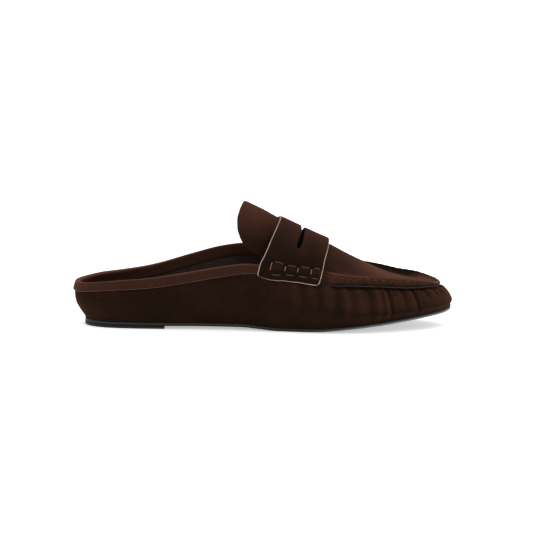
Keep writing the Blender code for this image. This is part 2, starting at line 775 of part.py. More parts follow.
def strap_ground(x, side, down):
    """Point outside the band and the lip, at x, by share of the way from the rim to the strap's end."""
    middle = turn_at(0.04 * LENGTH, side < 0)
    turns = np.linspace(middle - 0.75, middle + 0.75, TRACE)
    rim_x, _ = ring_plan("rim", turns)
    _, back_end, front_end = STRAP_EDGE[-1]
    share = (rim_x / LENGTH + 0.5 - back_end) / (front_end - back_end)
    reach = STRAP_DEPTH * by_way(STRAP_HEM, STRAP_HEM_COLUMNS, "depth", share)
    depth = down * (reach - RIDGE_SEAT * seam("seat", rim_x))
    point, away, _ = wall_frame(turns, up_at_depth(turns, depth))
    hug = np.clip((down - SHARES["hug"]) / (1 - SHARES["hug"]), 0, 1)
    point = point + (GAP + BAND_THICKNESS) * (1 - 0.8 * hug) * away
    order = np.argsort(point[:, 0])
    return np.stack([np.interp(x, point[order, 0], point[order, k]) for k in range(3)], -1)


def build_saddle_strap():
    """The penny strap: over the arch, down both sides, with the slot cut through it."""
    ends = np.array([1.0, 0.92, 0.80, 0.45, 0.0])
    bend = np.sin(np.linspace(-math.pi / 2, math.pi / 2, 23))
    places = [(-1, e, -1.0) for e in ends] + [(0, 0.0, q) for q in bend[1:-1]]
    places += [(1, e, 1.0) for e in ends[::-1]]
    across = np.array([q for _, _, q in places])
    down = np.array([e for _, e, _ in places])
    far = np.abs(across)
    corner = STRAP_CORNER * (down == 1)
    back_line = placed(by_way(STRAP_EDGE, STRAP_EDGE_COLUMNS, "back", far + down)) + corner
    front_line = placed(by_way(STRAP_EDGE, STRAP_EDGE_COLUMNS, "front", far + down)) - corner
    width = front_line - back_line
    in_slot = (far <= SHARES["slot_down_arch"]) & (down == 0)
    ends_at = far / SHARES["slot_down_arch"]
    leaf = SLOT_HALF_WIDTH * (0.66 + 0.34 * np.sin(math.pi * np.clip(ends_at, 0, 1)))
    half = np.where(in_slot, leaf, SLOT_SEAM)
    lines = [np.full(len(far), share) for share in (0.0, 0.05, 0.18, 0.34)]
    lines += [SHARES["slot_along_strap"] + move * half / width for move in (-1, 1)]
    lines += [np.full(len(far), share) for share in (0.66, 0.82, 0.95, 1.0)]
    lines = np.stack(lines, 1)
    x = back_line[:, None] + width[:, None] * lines
    ground = np.zeros(x.shape + (3,))
    for i, (side, end, q) in enumerate(places):
        if side == 0:
            ground[i] = arch(x[i], q, wider=STRAP_SPREAD)
        elif end == 0:
            rim = arch(x[i], q, wider=STRAP_SPREAD)
            low = strap_ground(x[i], side, 0.0)
            ground[i] = 0.5 * (rim + low)
        else:
            ground[i] = strap_ground(x[i], side, end)
    along = np.gradient(ground, axis=1)
    over = np.gradient(ground, axis=0)
    away = unit(np.cross(along, over))
    pad = STRAP_FRONT_PAD * lines * np.clip(1 - far**2, 0, 1)[:, None]
    thick = STRAP_THICKNESS + pad
    under = ground + GAP * away
    top = ground + (GAP + thick)[..., None] * away
    slot_rows = [i for i in range(len(far) - 1) if in_slot[i] and in_slot[i + 1]]
    faces = sheet_faces(len(far), lines.shape[1], skip={(i, 4) for i in slot_rows})
    return thick_sheet("saddle_strap", top, under, faces, "suede")


def centre_shoe():
    """Moves every piece so that the origin lies under the middle of the shoe."""
    made = [thing for thing in bpy.data.objects if thing.type == "MESH"]
    points = np.concatenate(
        [np.array([tuple(vertex.co) for vertex in thing.data.vertices]) for thing in made]
    )
    middle = (points.min(0) + points.max(0)) / 2
    for thing in made:
        for vertex in thing.data.vertices:
            vertex.co.x -= middle[0]
            vertex.co.y -= middle[1]


def main():
    for thing in list(bpy.data.objects):
        bpy.data.objects.remove(thing, do_unlink=True)
    build_outsole()
    build_heel_lift()
    build_insole()
    build_upper()
    build_collar_band()
    build_plug()
    build_tongue()
    build_saddle_strap()
    centre_shoe()


main()
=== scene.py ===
"""Dressed model of a backless suede penny loafer for the right foot.

The toe points along +X, the outer side of the foot is -Y, up is +Z, and all sizes are in metres.
The shoe is made as a shoemaker puts it together: sole and heel, footbed, side wall with its hand-set
gathers, collar binding, apron with a raised hand-sewn seam, tongue and slotted saddle strap. The
stitches are laid along those pieces last.
"""

from __future__ import annotations

import logging
import math
from dataclasses import dataclass, field
from enum import Enum
from typing import Callable, Iterable, Sequence

import bmesh
import bpy
import numpy as np
from mathutils import Matrix


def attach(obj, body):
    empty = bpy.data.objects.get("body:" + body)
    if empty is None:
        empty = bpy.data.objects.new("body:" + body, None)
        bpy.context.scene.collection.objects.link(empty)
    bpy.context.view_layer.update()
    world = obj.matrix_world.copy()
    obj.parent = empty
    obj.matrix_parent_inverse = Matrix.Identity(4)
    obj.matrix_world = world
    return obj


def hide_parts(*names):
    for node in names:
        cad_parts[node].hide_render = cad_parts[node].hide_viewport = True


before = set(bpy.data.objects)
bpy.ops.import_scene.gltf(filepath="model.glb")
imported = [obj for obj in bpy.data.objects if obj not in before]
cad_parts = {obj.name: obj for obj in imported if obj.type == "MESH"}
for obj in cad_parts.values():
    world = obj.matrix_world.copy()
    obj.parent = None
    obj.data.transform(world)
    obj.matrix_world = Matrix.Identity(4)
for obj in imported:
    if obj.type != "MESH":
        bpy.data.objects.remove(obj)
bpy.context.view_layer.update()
LOG = logging.getLogger("shoe")

Array = np.ndarray
MM = 0.001
# The built solids are centred on their bounding box; the last's own origin lies this far from it.
LAST_ORIGIN = np.array([0.0001041, 0.0010931, 0.0])


class Ring(Enum):
    """The four plan rings that the side wall passes through."""

    FEATHER = "feather"
    BELLY = "belly"
    SHOULDER = "shoulder"
    RIM = "rim"


class Side(Enum):
    """Outer or inner side of the foot."""

    OUTER = -1
    INNER = 1


def through(knots: Array, values: Array, at: Array, gentle: bool = False) -> Array:
    """Smooth curve through knots.

    Args:
        knots: rising places.
        values: the value at each place.
        at: where to read the curve.
        gentle: never pass beyond the knots' own values.

    Returns:
        The curve's values.
    """
    knots, values = np.asarray(knots, float), np.asarray(values, float)
    at = np.clip(np.asarray(at, float), knots[0], knots[-1])
    steps = np.diff(knots)
    grades = np.diff(values) / steps
    before, after = grades[:-1], grades[1:]
    inner = (before * steps[1:] + after * steps[:-1]) / (steps[1:] + steps[:-1])
    if gentle:
        same = before * after > 0
        inner = np.where(same, 2 * before * after / np.where(same, before + after, 1.0), 0.0)
    slopes = np.concatenate([grades[:1], inner, grades[-1:]])
    place = np.clip(np.searchsorted(knots, at, side="right") - 1, 0, len(steps) - 1)
    step = steps[place]
    t = (at - knots[place]) / step
    return (
        values[place] * (1 + 2 * t) * (1 - t) ** 2
        + slopes[place] * step * t * (1 - t) ** 2
        + values[place + 1] * t * t * (3 - 2 * t)
        + slopes[place + 1] * step * t * t * (t - 1)
    )


def unit(vectors: Array) -> Array:
    """Vectors of length one."""
    return vectors / np.maximum(np.linalg.norm(vectors, axis=-1, keepdims=True), 1e-12)


def smooth(low: float, high: float, value: Array) -> Array:
    """Soft step from 0 at low to 1 at high."""
    t = np.clip((np.asarray(value, float) - low) / (high - low), 0, 1)
    return t * t * (3 - 2 * t)


@dataclass(frozen=True)
class Table:
    """A short table of shares with named columns, read along its first column."""

    columns: str
    rows: tuple

    def column(self, name: str) -> Array:
        """One column as an array."""
        return np.array([row[self.columns.split().index(name)] for row in self.rows], float)

    def at(self, name: str, place: Array, gentle: bool = False) -> Array:
        """A column's value at a place along the first column.

        Args:
            name: the column.
            place: where along the first column.
            gentle: never pass beyond the rows' own values.

        Returns:
            The values there.
        """
        return through(self.column(self.columns.split()[0]), self.column(name), place, gentle)


# Half breadths of the rings as shares of the ball width, by share of each ring's own length.
PLAN = Table(
    "along feather_lat feather_med belly_lat belly_med shoulder_lat shoulder_med rim_lat rim_med",
    (
        (0.000, 0.000, 0.000, 0.000, 0.000, 0.000, 0.000, 0.000, 0.000),
        (0.020, 0.155, 0.155, 0.180, 0.180, 0.172, 0.172, 0.155, 0.155),
        (0.060, 0.232, 0.232, 0.280, 0.280, 0.272, 0.272, 0.250, 0.250),
        (0.120, 0.270, 0.266, 0.320, 0.318, 0.315, 0.314, 0.297, 0.296),
        (0.200, 0.283, 0.262, 0.336, 0.326, 0.334, 0.325, 0.317, 0.312),
        (0.300, 0.286, 0.236, 0.346, 0.318, 0.344, 0.322, 0.333, 0.318),
        (0.420, 0.308, 0.232, 0.374, 0.332, 0.368, 0.342, 0.354, 0.338),
        (0.540, 0.366, 0.314, 0.434, 0.402, 0.411, 0.401, 0.370, 0.364),
        (0.640, 0.414, 0.398, 0.480, 0.474, 0.430, 0.446, 0.352, 0.366),
        (0.720, 0.420, 0.442, 0.482, 0.510, 0.404, 0.454, 0.318, 0.350),
        (0.800, 0.374, 0.422, 0.430, 0.482, 0.346, 0.416, 0.272, 0.320),
        (0.870, 0.306, 0.374, 0.352, 0.422, 0.284, 0.358, 0.237, 0.283),
        (0.930, 0.216, 0.296, 0.255, 0.338, 0.205, 0.286, 0.178, 0.231),
        (0.975, 0.115, 0.205, 0.140, 0.235, 0.112, 0.198, 0.100, 0.162),
        (1.000, -0.044, 0.044, -0.044, 0.044, -0.044, 0.044, -0.044, 0.044),
    ),
)

# How far each ring stops short of the back and of the toe, as shares of the length.
RING_ENDS = {
    Ring.FEATHER: (0.0338, 0.0046),
    Ring.BELLY: (0.0092, 0.0000),
    Ring.SHOULDER: (0.0050, 0.0165),
    Ring.RIM: (0.0100, 0.0408),
}

# Underside of the outsole: shares of the heel seat's height and of the toe spring.
GROUND = Table(
    "along heel toe",
    (
        (0.000, 1.00, 0.000),
        (0.250, 1.00, 0.000),
        (0.335, 1.06, 0.000),
        (0.442, 1.00, 0.000),
        (0.495, 0.50, 0.000),
        (0.540, 0.00, 0.000),
        (0.600, 0.00, 0.000),
        (0.640, 0.00, 0.015),
        (0.665, 0.00, 0.052),
        (0.712, 0.00, 0.150),
        (0.756, 0.00, 0.245),
        (0.810, 0.00, 0.373),
        (0.875, 0.00, 0.560),
        (0.936, 0.00, 0.735),
        (0.973, 0.00, 0.850),
        (1.000, 0.00, 1.000),
    ),
)

# Finished top edge above the sole as a share of the instep height, where belly and shoulder lie as
# shares of the wall's height, and the depth of the collar binding as a share of its depth behind.
SIDE = Table(
    "along edge_lat edge_med belly shoulder band",
    (
        (0.000, 0.366, 0.366, 0.43, 0.80, 0.76),
        (0.030, 0.368, 0.380, 0.43, 0.80, 0.75),
        (0.070, 0.386, 0.400, 0.46, 0.80, 0.74),
        (0.120, 0.405, 0.416, 0.49, 0.81, 0.76),
        (0.200, 0.428, 0.457, 0.50, 0.81, 0.81),
        (0.310, 0.487, 0.565, 0.47, 0.80, 0.80),
        (0.390, 0.545, 0.645, 0.45, 0.79, 0.80),
        (0.460, 0.592, 0.686, 0.43, 0.78, 0.80),
        (0.520, 0.607, 0.695, 0.40, 0.75, 0.80),
        (0.600, 0.589, 0.657, 0.36, 0.72, 0.80),
        (0.670, 0.532, 0.590, 0.33, 0.70, 0.80),
        (0.735, 0.469, 0.528, 0.31, 0.70, 0.80),
        (0.810, 0.419, 0.456, 0.29, 0.72, 0.80),
        (0.860, 0.374, 0.396, 0.28, 0.74, 0.80),
        (0.915, 0.321, 0.344, 0.28, 0.75, 0.80),
        (0.945, 0.282, 0.296, 0.30, 0.76, 0.80),
        (0.965, 0.252, 0.252, 0.31, 0.76, 0.80),
        (1.000, 0.198, 0.198, 0.31, 0.76, 0.80),
    ),
)

# The seam round the apron: how far the wall's rim lies below the edge, how deep and thick the lip is,
# and how far the apron dips beside its ridge, each as a share of its own full size.
SEAM = Table(
    "along seat lip thick valley",
    (
        (0.000, 0.286, 0.70, 0.50, 0.00),
        (0.490, 0.286, 0.70, 0.50, 0.00),
        (0.530, 0.476, 0.75, 0.50, 0.00),
        (0.600, 0.500, 0.90, 0.50, 0.00),
        (0.655, 0.524, 1.08, 0.50, 0.00),
        (0.685, 0.740, 1.12, 0.80, 0.45),
        (0.720, 1.000, 0.97, 1.00, 0.90),
        (0.810, 1.000, 0.90, 1.00, 1.00),
        (0.865, 0.980, 0.87, 1.00, 0.92),
        (0.915, 0.780, 0.70, 0.90, 0.55),
        (0.945, 0.520, 0.50, 0.80, 0.20),
        (0.965, 0.360, 0.32, 0.75, 0.00),
        (1.000, 0.360, 0.32, 0.75, 0.00),
    ),
)

# Middle line of tongue and apron above the sole, and how the arch between the rims is rounded.
CROWN = Table(
    "along crown spread power",
    (
        (0.380, 1.248, 1.70, 0.62),
        (0.420, 1.199, 1.70, 0.62),
        (0.452, 1.156, 1.70, 0.62),
        (0.500, 1.086, 1.70, 0.62),
        (0.549, 0.999, 1.72, 0.62),
        (0.610, 0.877, 1.75, 0.62),
        (0.677, 0.738, 1.80, 0.66),
        (0.716, 0.646, 1.85, 0.72),
        (0.758, 0.553, 1.90, 0.80),
        (0.790, 0.483, 2.00, 0.86),
        (0.820, 0.423, 2.00, 0.92),
        (0.857, 0.363, 2.00, 1.00),
        (0.890, 0.318, 2.00, 1.00),
        (0.925, 0.283, 2.00, 1.00),
        (0.965, 0.252, 2.00, 1.00),
        (1.000, 0.198, 2.00, 1.00),
    ),
)

# Free back edge of the tongue on its outer and inner half, by share of the way down from the crown.
TONGUE_EDGE = Table(
    "down outer inner",
    (
        (0.00, 0.4499, 0.4499),
        (0.20, 0.4442, 0.4505),
        (0.40, 0.4375, 0.4465),
        (0.58, 0.4329, 0.4410),
        (0.72, 0.4334, 0.4375),
        (0.82, 0.4393, 0.4410),
        (0.86, 0.4465, 0.4480),
        (0.90, 0.4600, 0.4600),
        (0.95, 0.4990, 0.4900),
        (1.00, 0.5080, 0.5060),
    ),
)

# How deep the strap reaches below the rim, as a share of its depth at the front edge.
STRAP_DEPTH = 13.6 * MM
STRAP_HEM = Table(
    "width depth",
    (
        (0.00, 0.545),
        (0.08, 0.675),
        (0.22, 0.750),
        (0.38, 0.765),
        (0.50, 0.825),
        (0.62, 0.855),
        (0.76, 0.915),
        (1.00, 0.945),
    ),
)

# Back and front edge of the saddle strap: "way" is 0 at the crown, 1 at the rim and 2 at the end.
STRAP_EDGE = Table(
    "way back front",
    (
        (0.00, 0.5434, 0.6683),
        (0.20, 0.5411, 0.6683),
        (0.40, 0.5357, 0.6672),
        (0.55, 0.5303, 0.6656),
        (0.70, 0.5233, 0.6632),
        (0.80, 0.5172, 0.6608),
        (0.88, 0.5116, 0.6588),
        (0.94, 0.5056, 0.6573),
        (0.98, 0.4994, 0.6561),
        (1.00, 0.4930, 0.6550),
        (1.25, 0.4903, 0.6526),
        (1.50, 0.4886, 0.6500),
        (1.75, 0.4872, 0.6475),
        (2.00, 0.4860, 0.6452),
    ),
)


@dataclass(frozen=True)
class Last:
    """The shape of the foot side of the shoe, from which every piece takes its form."""

    length: float = 0.260
    ball_width: float = 0.090
    instep_height: float = 0.070
    toe_spring: float = 0.0120
    outsole: float = 0.0023
    heel_lift: float = 0.0016
    ridge_seat: float = 0.0042
    gap: float = 0.0003

    def share(self, x: Array) -> Array:
        """Share of the whole length at x."""
        return np.asarray(x, float) / self.length + 0.5

    def ground_line(self, x: Array) -> Array:
        """Underside of the outsole at x."""
        seat = self.heel_lift + self.gap
        heel = GROUND.at("heel", self.share(x), gentle=True)
        return seat * heel + self.toe_spring * GROUND.at("toe", self.share(x), gentle=True)

    def sole_line(self, x: Array) -> Array:
        """Top of the outsole at x."""
        return self.ground_line(x) + self.outsole

    def ring_ends(self, ring: Ring) -> tuple[float, float]:
        """Back and tip of a ring along X."""
        back, tip = RING_ENDS[ring]
        return (back - 0.5) * self.length, (0.5 - tip) * self.length

    def ring_plan(self, ring: Ring, turn: Array) -> tuple[Array, Array]:
        """Plan of a ring.

        Args:
            ring: which ring.
            turn: 0 at the back, half a circle at the tip, the outer side first.

        Returns:
            x and y of the ring.
        """
        turns = np.arccos(1 - 2 * PLAN.column("along"))
        outer, inner = -PLAN.column(ring.value + "_lat"), PLAN.column(ring.value + "_med")
        knots = np.concatenate([turns, 2 * math.pi - turns[-2::-1]])
        values = np.concatenate([outer, inner[-2::-1]])
        more = 3
        knots = np.concatenate(
            [knots[-more - 1 : -1] - 2 * math.pi, knots, knots[1 : more + 1] + 2 * math.pi]
        )
        values = np.concatenate([values[-more - 1 : -1], values, values[1 : more + 1]])
        back, tip = self.ring_ends(ring)
        x = back + (tip - back) * (1 - np.cos(turn)) / 2
        return x, self.ball_width * through(knots, values, np.mod(turn, 2 * math.pi))

    def turn_at(self, x: Array, side: Side, ring: Ring = Ring.RIM) -> Array:
        """Turn of a ring at x on one side."""
        back, tip = self.ring_ends(ring)
        share = np.clip((np.asarray(x, float) - back) / (tip - back), 0, 1)
        turn = np.arccos(1 - 2 * share)
        return turn if side is Side.OUTER else 2 * math.pi - turn

    def edge_height(self, x: Array, turn: Array) -> Array:
        """Height of the finished top edge."""
        outer, inner = SIDE.at("edge_lat", self.share(x)), SIDE.at("edge_med", self.share(x))
        return self.sole_line(x) + self.instep_height * np.where(np.sin(turn) >= 0, outer, inner)

    def seam(self, name: str, x: Array) -> Array:
        """A column of the seam table at x."""
        return SEAM.at(name, self.share(x))

    def rim_height(self, x: Array, turn: Array) -> Array:
        """Height of the wall's own rim, under the binding or the apron."""
        return self.edge_height(x, turn) - self.ridge_seat * self.seam("seat", x)

    def wall(self, turn: Array, up: Array) -> Array:
        """Outer face of the side wall.

        Args:
            turn: place round the shoe.
            up: 0 at the feather edge, 1 at the rim.

        Returns:
            Points.
        """
        turn, up = np.broadcast_arrays(np.asarray(turn, float), np.asarray(up, float))
        foot_x, foot_y = self.ring_plan(Ring.FEATHER, turn)
        rim_x, rim_y = self.ring_plan(Ring.RIM, turn)
        foot_z = self.sole_line(foot_x) + self.gap
        rim_z = self.rim_height(rim_x, turn)
        rings = [np.stack([foot_x, foot_y, foot_z], -1)]
        for ring in (Ring.BELLY, Ring.SHOULDER):
            x, y = self.ring_plan(ring, turn)
            level = SIDE.at(ring.value, self.share(x))
            rings.append(np.stack([x, y, foot_z + level * (rim_z - foot_z)], -1))
        rings.append(np.stack([rim_x, rim_y, rim_z], -1))
        knots = (0.0, 0.36, 0.74, 1.0)
        slopes = [
            (rings[1] - rings[0]) * 1.35 / knots[1],
            (rings[2] - rings[0]) / knots[2],
            (rings[3] - rings[1]) / (1 - knots[1]),
            (rings[3] - rings[2]) / (1 - knots[2]),
        ]
        place = np.clip(np.searchsorted(knots, up, side="right") - 1, 0, 2)
        result = np.zeros(turn.shape + (3,))
        for part in range(3):
            step = knots[part + 1] - knots[part]
            t = ((up - knots[part]) / step)[..., None]
            piece = (
                rings[part] * (1 + 2 * t) * (1 - t) ** 2
                + slopes[part] * step * t * (1 - t) ** 2
                + rings[part + 1] * t * t * (3 - 2 * t)
                + slopes[part + 1] * step * t * t * (t - 1)
            )
            result = np.where((place == part)[..., None], piece, result)
        return result

    def wall_frame(self, turn: Array, up: Array) -> tuple[Array, Array, Array]:
        """Frame of the side wall.

        Args:
            turn: place round the shoe.
            up: share up the wall.

        Returns:
            Point, outward direction and direction up the wall.
        """
        small = 1e-4
        turn, up = np.broadcast_arrays(np.asarray(turn, float), np.asarray(up, float))
        low, high = np.clip(up - small, 0, 1), np.clip(up + small, 0, 1)
        along = self.wall(turn + small, up) - self.wall(turn - small, up)
        rise = unit(self.wall(turn, high) - self.wall(turn, low))
        return self.wall(turn, up), unit(np.cross(along, rise)), rise

    def up_at_depth(self, turn: Array, depth: Array) -> Array:
        """Share up the wall at a distance below the rim.

        Args:
            turn: places round the shoe, a flat array.
            depth: distance down the wall, one for each turn or one for all.

        Returns:
            Shares up the wall.
        """
        turn = np.atleast_1d(np.asarray(turn, float))
        depth = np.broadcast_to(np.asarray(depth, float), turn.shape)
        shares = np.linspace(1, 0.3, 57)
        line = self.wall(turn[:, None], shares[None, :])
        lengths = np.linalg.norm(np.diff(line, axis=1), axis=-1)
        run = np.concatenate([np.zeros((len(turn), 1)), np.cumsum(lengths, axis=1)], axis=1)
        return np.array([np.interp(d, r, shares) for d, r in zip(depth, run)])

    def arch(self, x: Array, across: Array, wider: float = 0.0) -> Array:
        """Surface of the instep between the rims.

        Args:
            x: place along the shoe.
            across: -1 at the outer rim, 1 at the inner rim.
            wider: added to the half width.

        Returns:
            Points.
        """
        x, across = np.broadcast_arrays(np.asarray(x, float), np.asarray(across, float))
        turns = self.turn_at(x, Side.OUTER), self.turn_at(x, Side.INNER)
        outer_y, inner_y = (self.ring_plan(Ring.RIM, turn)[1] for turn in turns)
        outer_z, inner_z = (self.edge_height(x, turn) for turn in turns)
        half = (inner_y - outer_y) / 2 + wider
        middle_z, lean = (outer_z + inner_z) / 2, (inner_z - outer_z) / 2
        crown = self.sole_line(x) + self.instep_height * CROWN.at("crown", self.share(x))
        spread, power = CROWN.at("spread", self.share(x)), CROWN.at("power", self.share(x))
        share = np.clip(1 - np.abs(across) ** spread, 0, 1) ** power
        z = middle_z + lean * across + (crown - middle_z) * share
        return np.stack([x, (outer_y + inner_y) / 2 + half * across, z], -1)

    def arch_out(self, x: Array, across: Array) -> Array:
        """Outward direction of the arch."""
        small_x, small = 1e-4 * self.length, 1e-3
        held = np.clip(across, -0.985, 0.985)
        along = self.arch(x + small_x, held) - self.arch(x - small_x, held)
        return unit(np.cross(along, self.arch(x, held + small) - self.arch(x, held - small)))

    def sole_plan(self, turn: Array, outward: float) -> tuple[Array, Array, Array]:
        """Plan of the sole.

        Args:
            turn: 0 at the back to half a circle at the tip.
            outward: how far it is moved outward all round.

        Returns:
            x, y of the outer side and y of the inner side.
        """
        back, tip = self.ring_ends(Ring.FEATHER)
        back, tip = back - outward, tip + outward
        x = back + (tip - back) * (1 - np.cos(turn)) / 2
        outer = self.ring_plan(Ring.FEATHER, turn)[1] - outward * np.sin(turn)
        inner = self.ring_plan(Ring.FEATHER, 2 * math.pi - turn)[1] + outward * np.sin(turn)
        return x, outer, inner


LAST = Last()


def placed(share: float) -> float:
    """Place along the shoe, counted from its middle, of a share of its length."""
    return (share - 0.5) * LAST.length


def linear(code: str) -> tuple[float, float, float, float]:
    """Linear colour of an sRGB hex code."""
    parts = [int(code[i : i + 2], 16) / 255 for i in (1, 3, 5)]
    return (*(c / 12.92 if c <= 0.04045 else ((c + 0.055) / 1.055) ** 2.4 for c in parts), 1.0)


def add_node(tree: bpy.types.NodeTree, kind: str, inputs: dict | None = None, **settings):
    """Adds a node with its settings and links.

    Args:
        tree: the node tree.
        kind: Blender's name of the node.
        inputs: a value or an output socket for each input's name or number.
        settings: the node's own properties.

    Returns:
        The node.
    """
    made = tree.nodes.new(kind)
    for name, value in settings.items():
        setattr(made, name, value)
    for key, value in (inputs or {}).items():
        if isinstance(value, bpy.types.NodeSocket):
            tree.links.new(value, made.inputs[key])
        else:
            made.inputs[key].default_value = value
    return made


def noise(tree: bpy.types.NodeTree, place, size: float, detail: float, rough: float = 0.5):
    """Cloudy pattern.

    Args:
        tree: the node tree.
        place: object coordinates.
        size: size of its patches.
        detail: how many finer layers it has.
        rough: how strong each finer layer is.

    Returns:
        Output socket between 0 and 1.
    """
    sizes = {"Vector": place, "Scale": 1 / size, "Detail": detail, "Roughness": rough}
    return add_node(tree, "ShaderNodeTexNoise", sizes).outputs["Fac"]


def spread_out(tree: bpy.types.NodeTree, value, low: float, high: float, to: tuple = (0.0, 1.0)):
    """Moves the range from low to high of a value to another range.

    Args:
        tree: the node tree.
        value: output socket.
        low: lower end of its range.
        high: upper end of its range.
        to: both ends of the new range.

    Returns:
        Output socket.
    """
    ends = {"Value": value, 1: low, 2: high, 3: to[0], 4: to[1]}
    return add_node(tree, "ShaderNodeMapRange", ends).outputs[0]


@dataclass(frozen=True)
class Finish:
    """How a surface looks. Each kind of leather, rubber or thread adds its own pattern."""

    name: str
    shade: str
    light: str
    rough: float = 0.9
    grain: float = 1.0 * MM
    depth: float = 0.15 * MM
    sheen: float = 0.0
    sheen_tint: str = "#8a6a5c"
    gloss: float = 0.4

    def pattern(self, tree: bpy.types.NodeTree, place) -> tuple:
        """Share of the light colour and the relief.

        Args:
            tree: the material's node tree.
            place: object coordinates.

        Returns:
            Two output sockets.
        """
        fine = noise(tree, place, self.grain, 3.0)
        return fine, fine

    def material(self) -> bpy.types.Material:
        """The material, made once."""
        found = bpy.data.materials.get(self.name)
        if found:
            return found
        made = bpy.data.materials.new(self.name)
        made.use_nodes = True
        tree = made.node_tree
        shader = tree.nodes["Principled BSDF"]
        place = add_node(tree, "ShaderNodeTexCoord").outputs["Object"]
        share, relief = self.pattern(tree, place)
        colour = add_node(
            tree,
            "ShaderNodeMix",
            {"Factor": share, 6: linear(self.shade), 7: linear(self.light)},
            data_type="RGBA",
            clamp_factor=False,
        )
        bump = add_node(
            tree, "ShaderNodeBump", {"Height": relief, "Distance": self.depth, "Strength": 1.0}
        )
        tree.links.new(colour.outputs[2], shader.inputs["Base Color"])
        tree.links.new(bump.outputs[0], shader.inputs["Normal"])
        shader.inputs["Roughness"].default_value = self.rough
        shader.inputs["IOR"].default_value = 1.45
        shader.inputs["Specular IOR Level"].default_value = self.gloss
        shader.inputs["Sheen Weight"].default_value = self.sheen
        shader.inputs["Sheen Roughness"].default_value = 0.45
        shader.inputs["Sheen Tint"].default_value = linear(self.sheen_tint)
        made.diffuse_color = linear(self.shade)
        return made


@dataclass(frozen=True)
class Suede(Finish):
    """Suede split: buffed nap that brushes into lighter and darker patches, lifted or lowered further at
    each point by painted highlight and shade and some plain tone.
    """

    patch: float = 26 * MM
    # Weight of the per-point painted light and shade, and plain tone, in the share of the light colour.
    tone_and_painted_light: float = 0.42

    def pattern(self, tree: bpy.types.NodeTree, place) -> tuple:
        """Share of the light colour and the relief.

        Args:
            tree: the material's node tree.
            place: object coordinates.

        Returns:
            Two output sockets.
        """
        nap = noise(tree, place, self.grain, 4.0, 0.65)
        brushing_and_highlight = noise(tree, place, self.patch, 5.0, 0.6)
        # Per-point painted highlight and shade, with some plain tone, read from the mesh.
        tone_and_painted_light = add_node(tree, "ShaderNodeAttribute", attribute_name="tone_and_painted_light")
        speck = spread_out(tree, nap, 0.3, 0.7, (-0.16, 0.16))
        cloud = spread_out(tree, brushing_and_highlight, 0.35, 0.65, (0.27, 0.46))
        both = add_node(tree, "ShaderNodeMath", {0: speck, 1: cloud})
        share = add_node(
            tree,
            "ShaderNodeMath",
            {0: tone_and_painted_light.outputs["Fac"], 1: self.tone_and_painted_light, 2: both.outputs[0]},
            operation="MULTIPLY_ADD",
        )
        share = add_node(tree, "ShaderNodeMath", {0: share.outputs[0], 1: 0.0}, operation="MAXIMUM")
        return share.outputs[0], nap


@dataclass(frozen=True)
class SmoothLeather(Finish):
    """Finished lining leather: fine pebble grain from the plate, with a low gloss."""

    cloud: float = 1 / 60

    def pattern(self, tree: bpy.types.NodeTree, place) -> tuple:
        """Share of the light colour and the relief.

        Args:
            tree: the material's node tree.
            place: object coordinates.

        Returns:
            Two output sockets.
        """
        cells = add_node(
            tree,
            "ShaderNodeTexVoronoi",
            {"Vector": place, "Scale": 1 / self.grain},
            feature="DISTANCE_TO_EDGE",
        )
        relief = spread_out(tree, cells.outputs["Distance"], 0.0, 0.12)
        return noise(tree, place, self.cloud, 4.0), relief


@dataclass(frozen=True)
class ReflectingRubber(Finish):
    """Moulded rubber carrying a painted reflection of the pale floor, greyer where it springs up towards the
    toe.
    """

    grey_from: float = 20 * MM
    grey_to: float = 75 * MM

    def pattern(self, tree: bpy.types.NodeTree, place) -> tuple:
        """Share of the light colour and the relief.

        Args:
            tree: the material's node tree.
            place: object coordinates.

        Returns:
            Two output sockets.
        """
        fine = noise(tree, place, self.grain, 3.0)
        along = add_node(tree, "ShaderNodeSeparateXYZ", {0: place}).outputs["X"]
        grey = spread_out(tree, along, self.grey_from, self.grey_to)
        speck = spread_out(tree, fine, 0.3, 0.7, (0.75, 1.0))
        share = add_node(tree, "ShaderNodeMath", {0: grey, 1: speck}, operation="MULTIPLY")
        return share.outputs[0], fine


# Chrome-tanned suede split, buffed to a short nap, so it scatters light and glows at its edges. The
# real nap is about 0.2 mm, too fine to show, and is drawn at 0.7 mm.
SUEDE = Suede("suede_split", "#170d07", "#3f261b", 0.95, 0.7 * MM, 0.22 * MM, 0.36, "#7a4634", 0.05)
# The binding is the same split from a paler skin, with painted highlights along its fold.
BINDING = Suede("suede_binding", "#27150d", "#44291f", 0.92, 0.7 * MM, 0.18 * MM, 0.5, "#845644", 0.1)
# The strap's cut edge shows the pale fibre of the skin; binding and tongue are dyed through.
CUT_EDGE = Finish("cut_suede_edge", "#8a7365", "#ae9686", 0.9, 0.6 * MM, 0.1 * MM)
DYED_EDGE = Finish("dyed_edge", "#3f291f", "#5f4436", 0.9, 0.6 * MM, 0.1 * MM)
# The edge under the apron's lip is drawn dark grey.
DARK_EDGE = Finish("dark_grey_edge", "#1b1918", "#2f2b29", 0.85, 0.7 * MM, 0.1 * MM)
LINING = SmoothLeather("lining_leather", "#261a18", "#40302c", 0.62, 0.8 * MM, 0.05 * MM)
# Moulded rubber sheet with a matt skin.
RUBBER = Finish("rubber_sole", "#0e0f10", "#1b1c1d", 0.6, 0.9 * MM, 0.05 * MM)
# The underside and lower edge strips carry a painted reflection of the pale floor, growing towards the toe.
UNDERSIDE = ReflectingRubber("rubber_tread_painted_reflection", "#101112", "#6a6b6d", 0.75, 1.1 * MM, 0.10 * MM)
# Waxed polyester thread, slightly shiny.
THREAD = Finish("waxed_thread", "#553b2e", "#886652", 0.55, 0.5 * MM, 0.08 * MM)
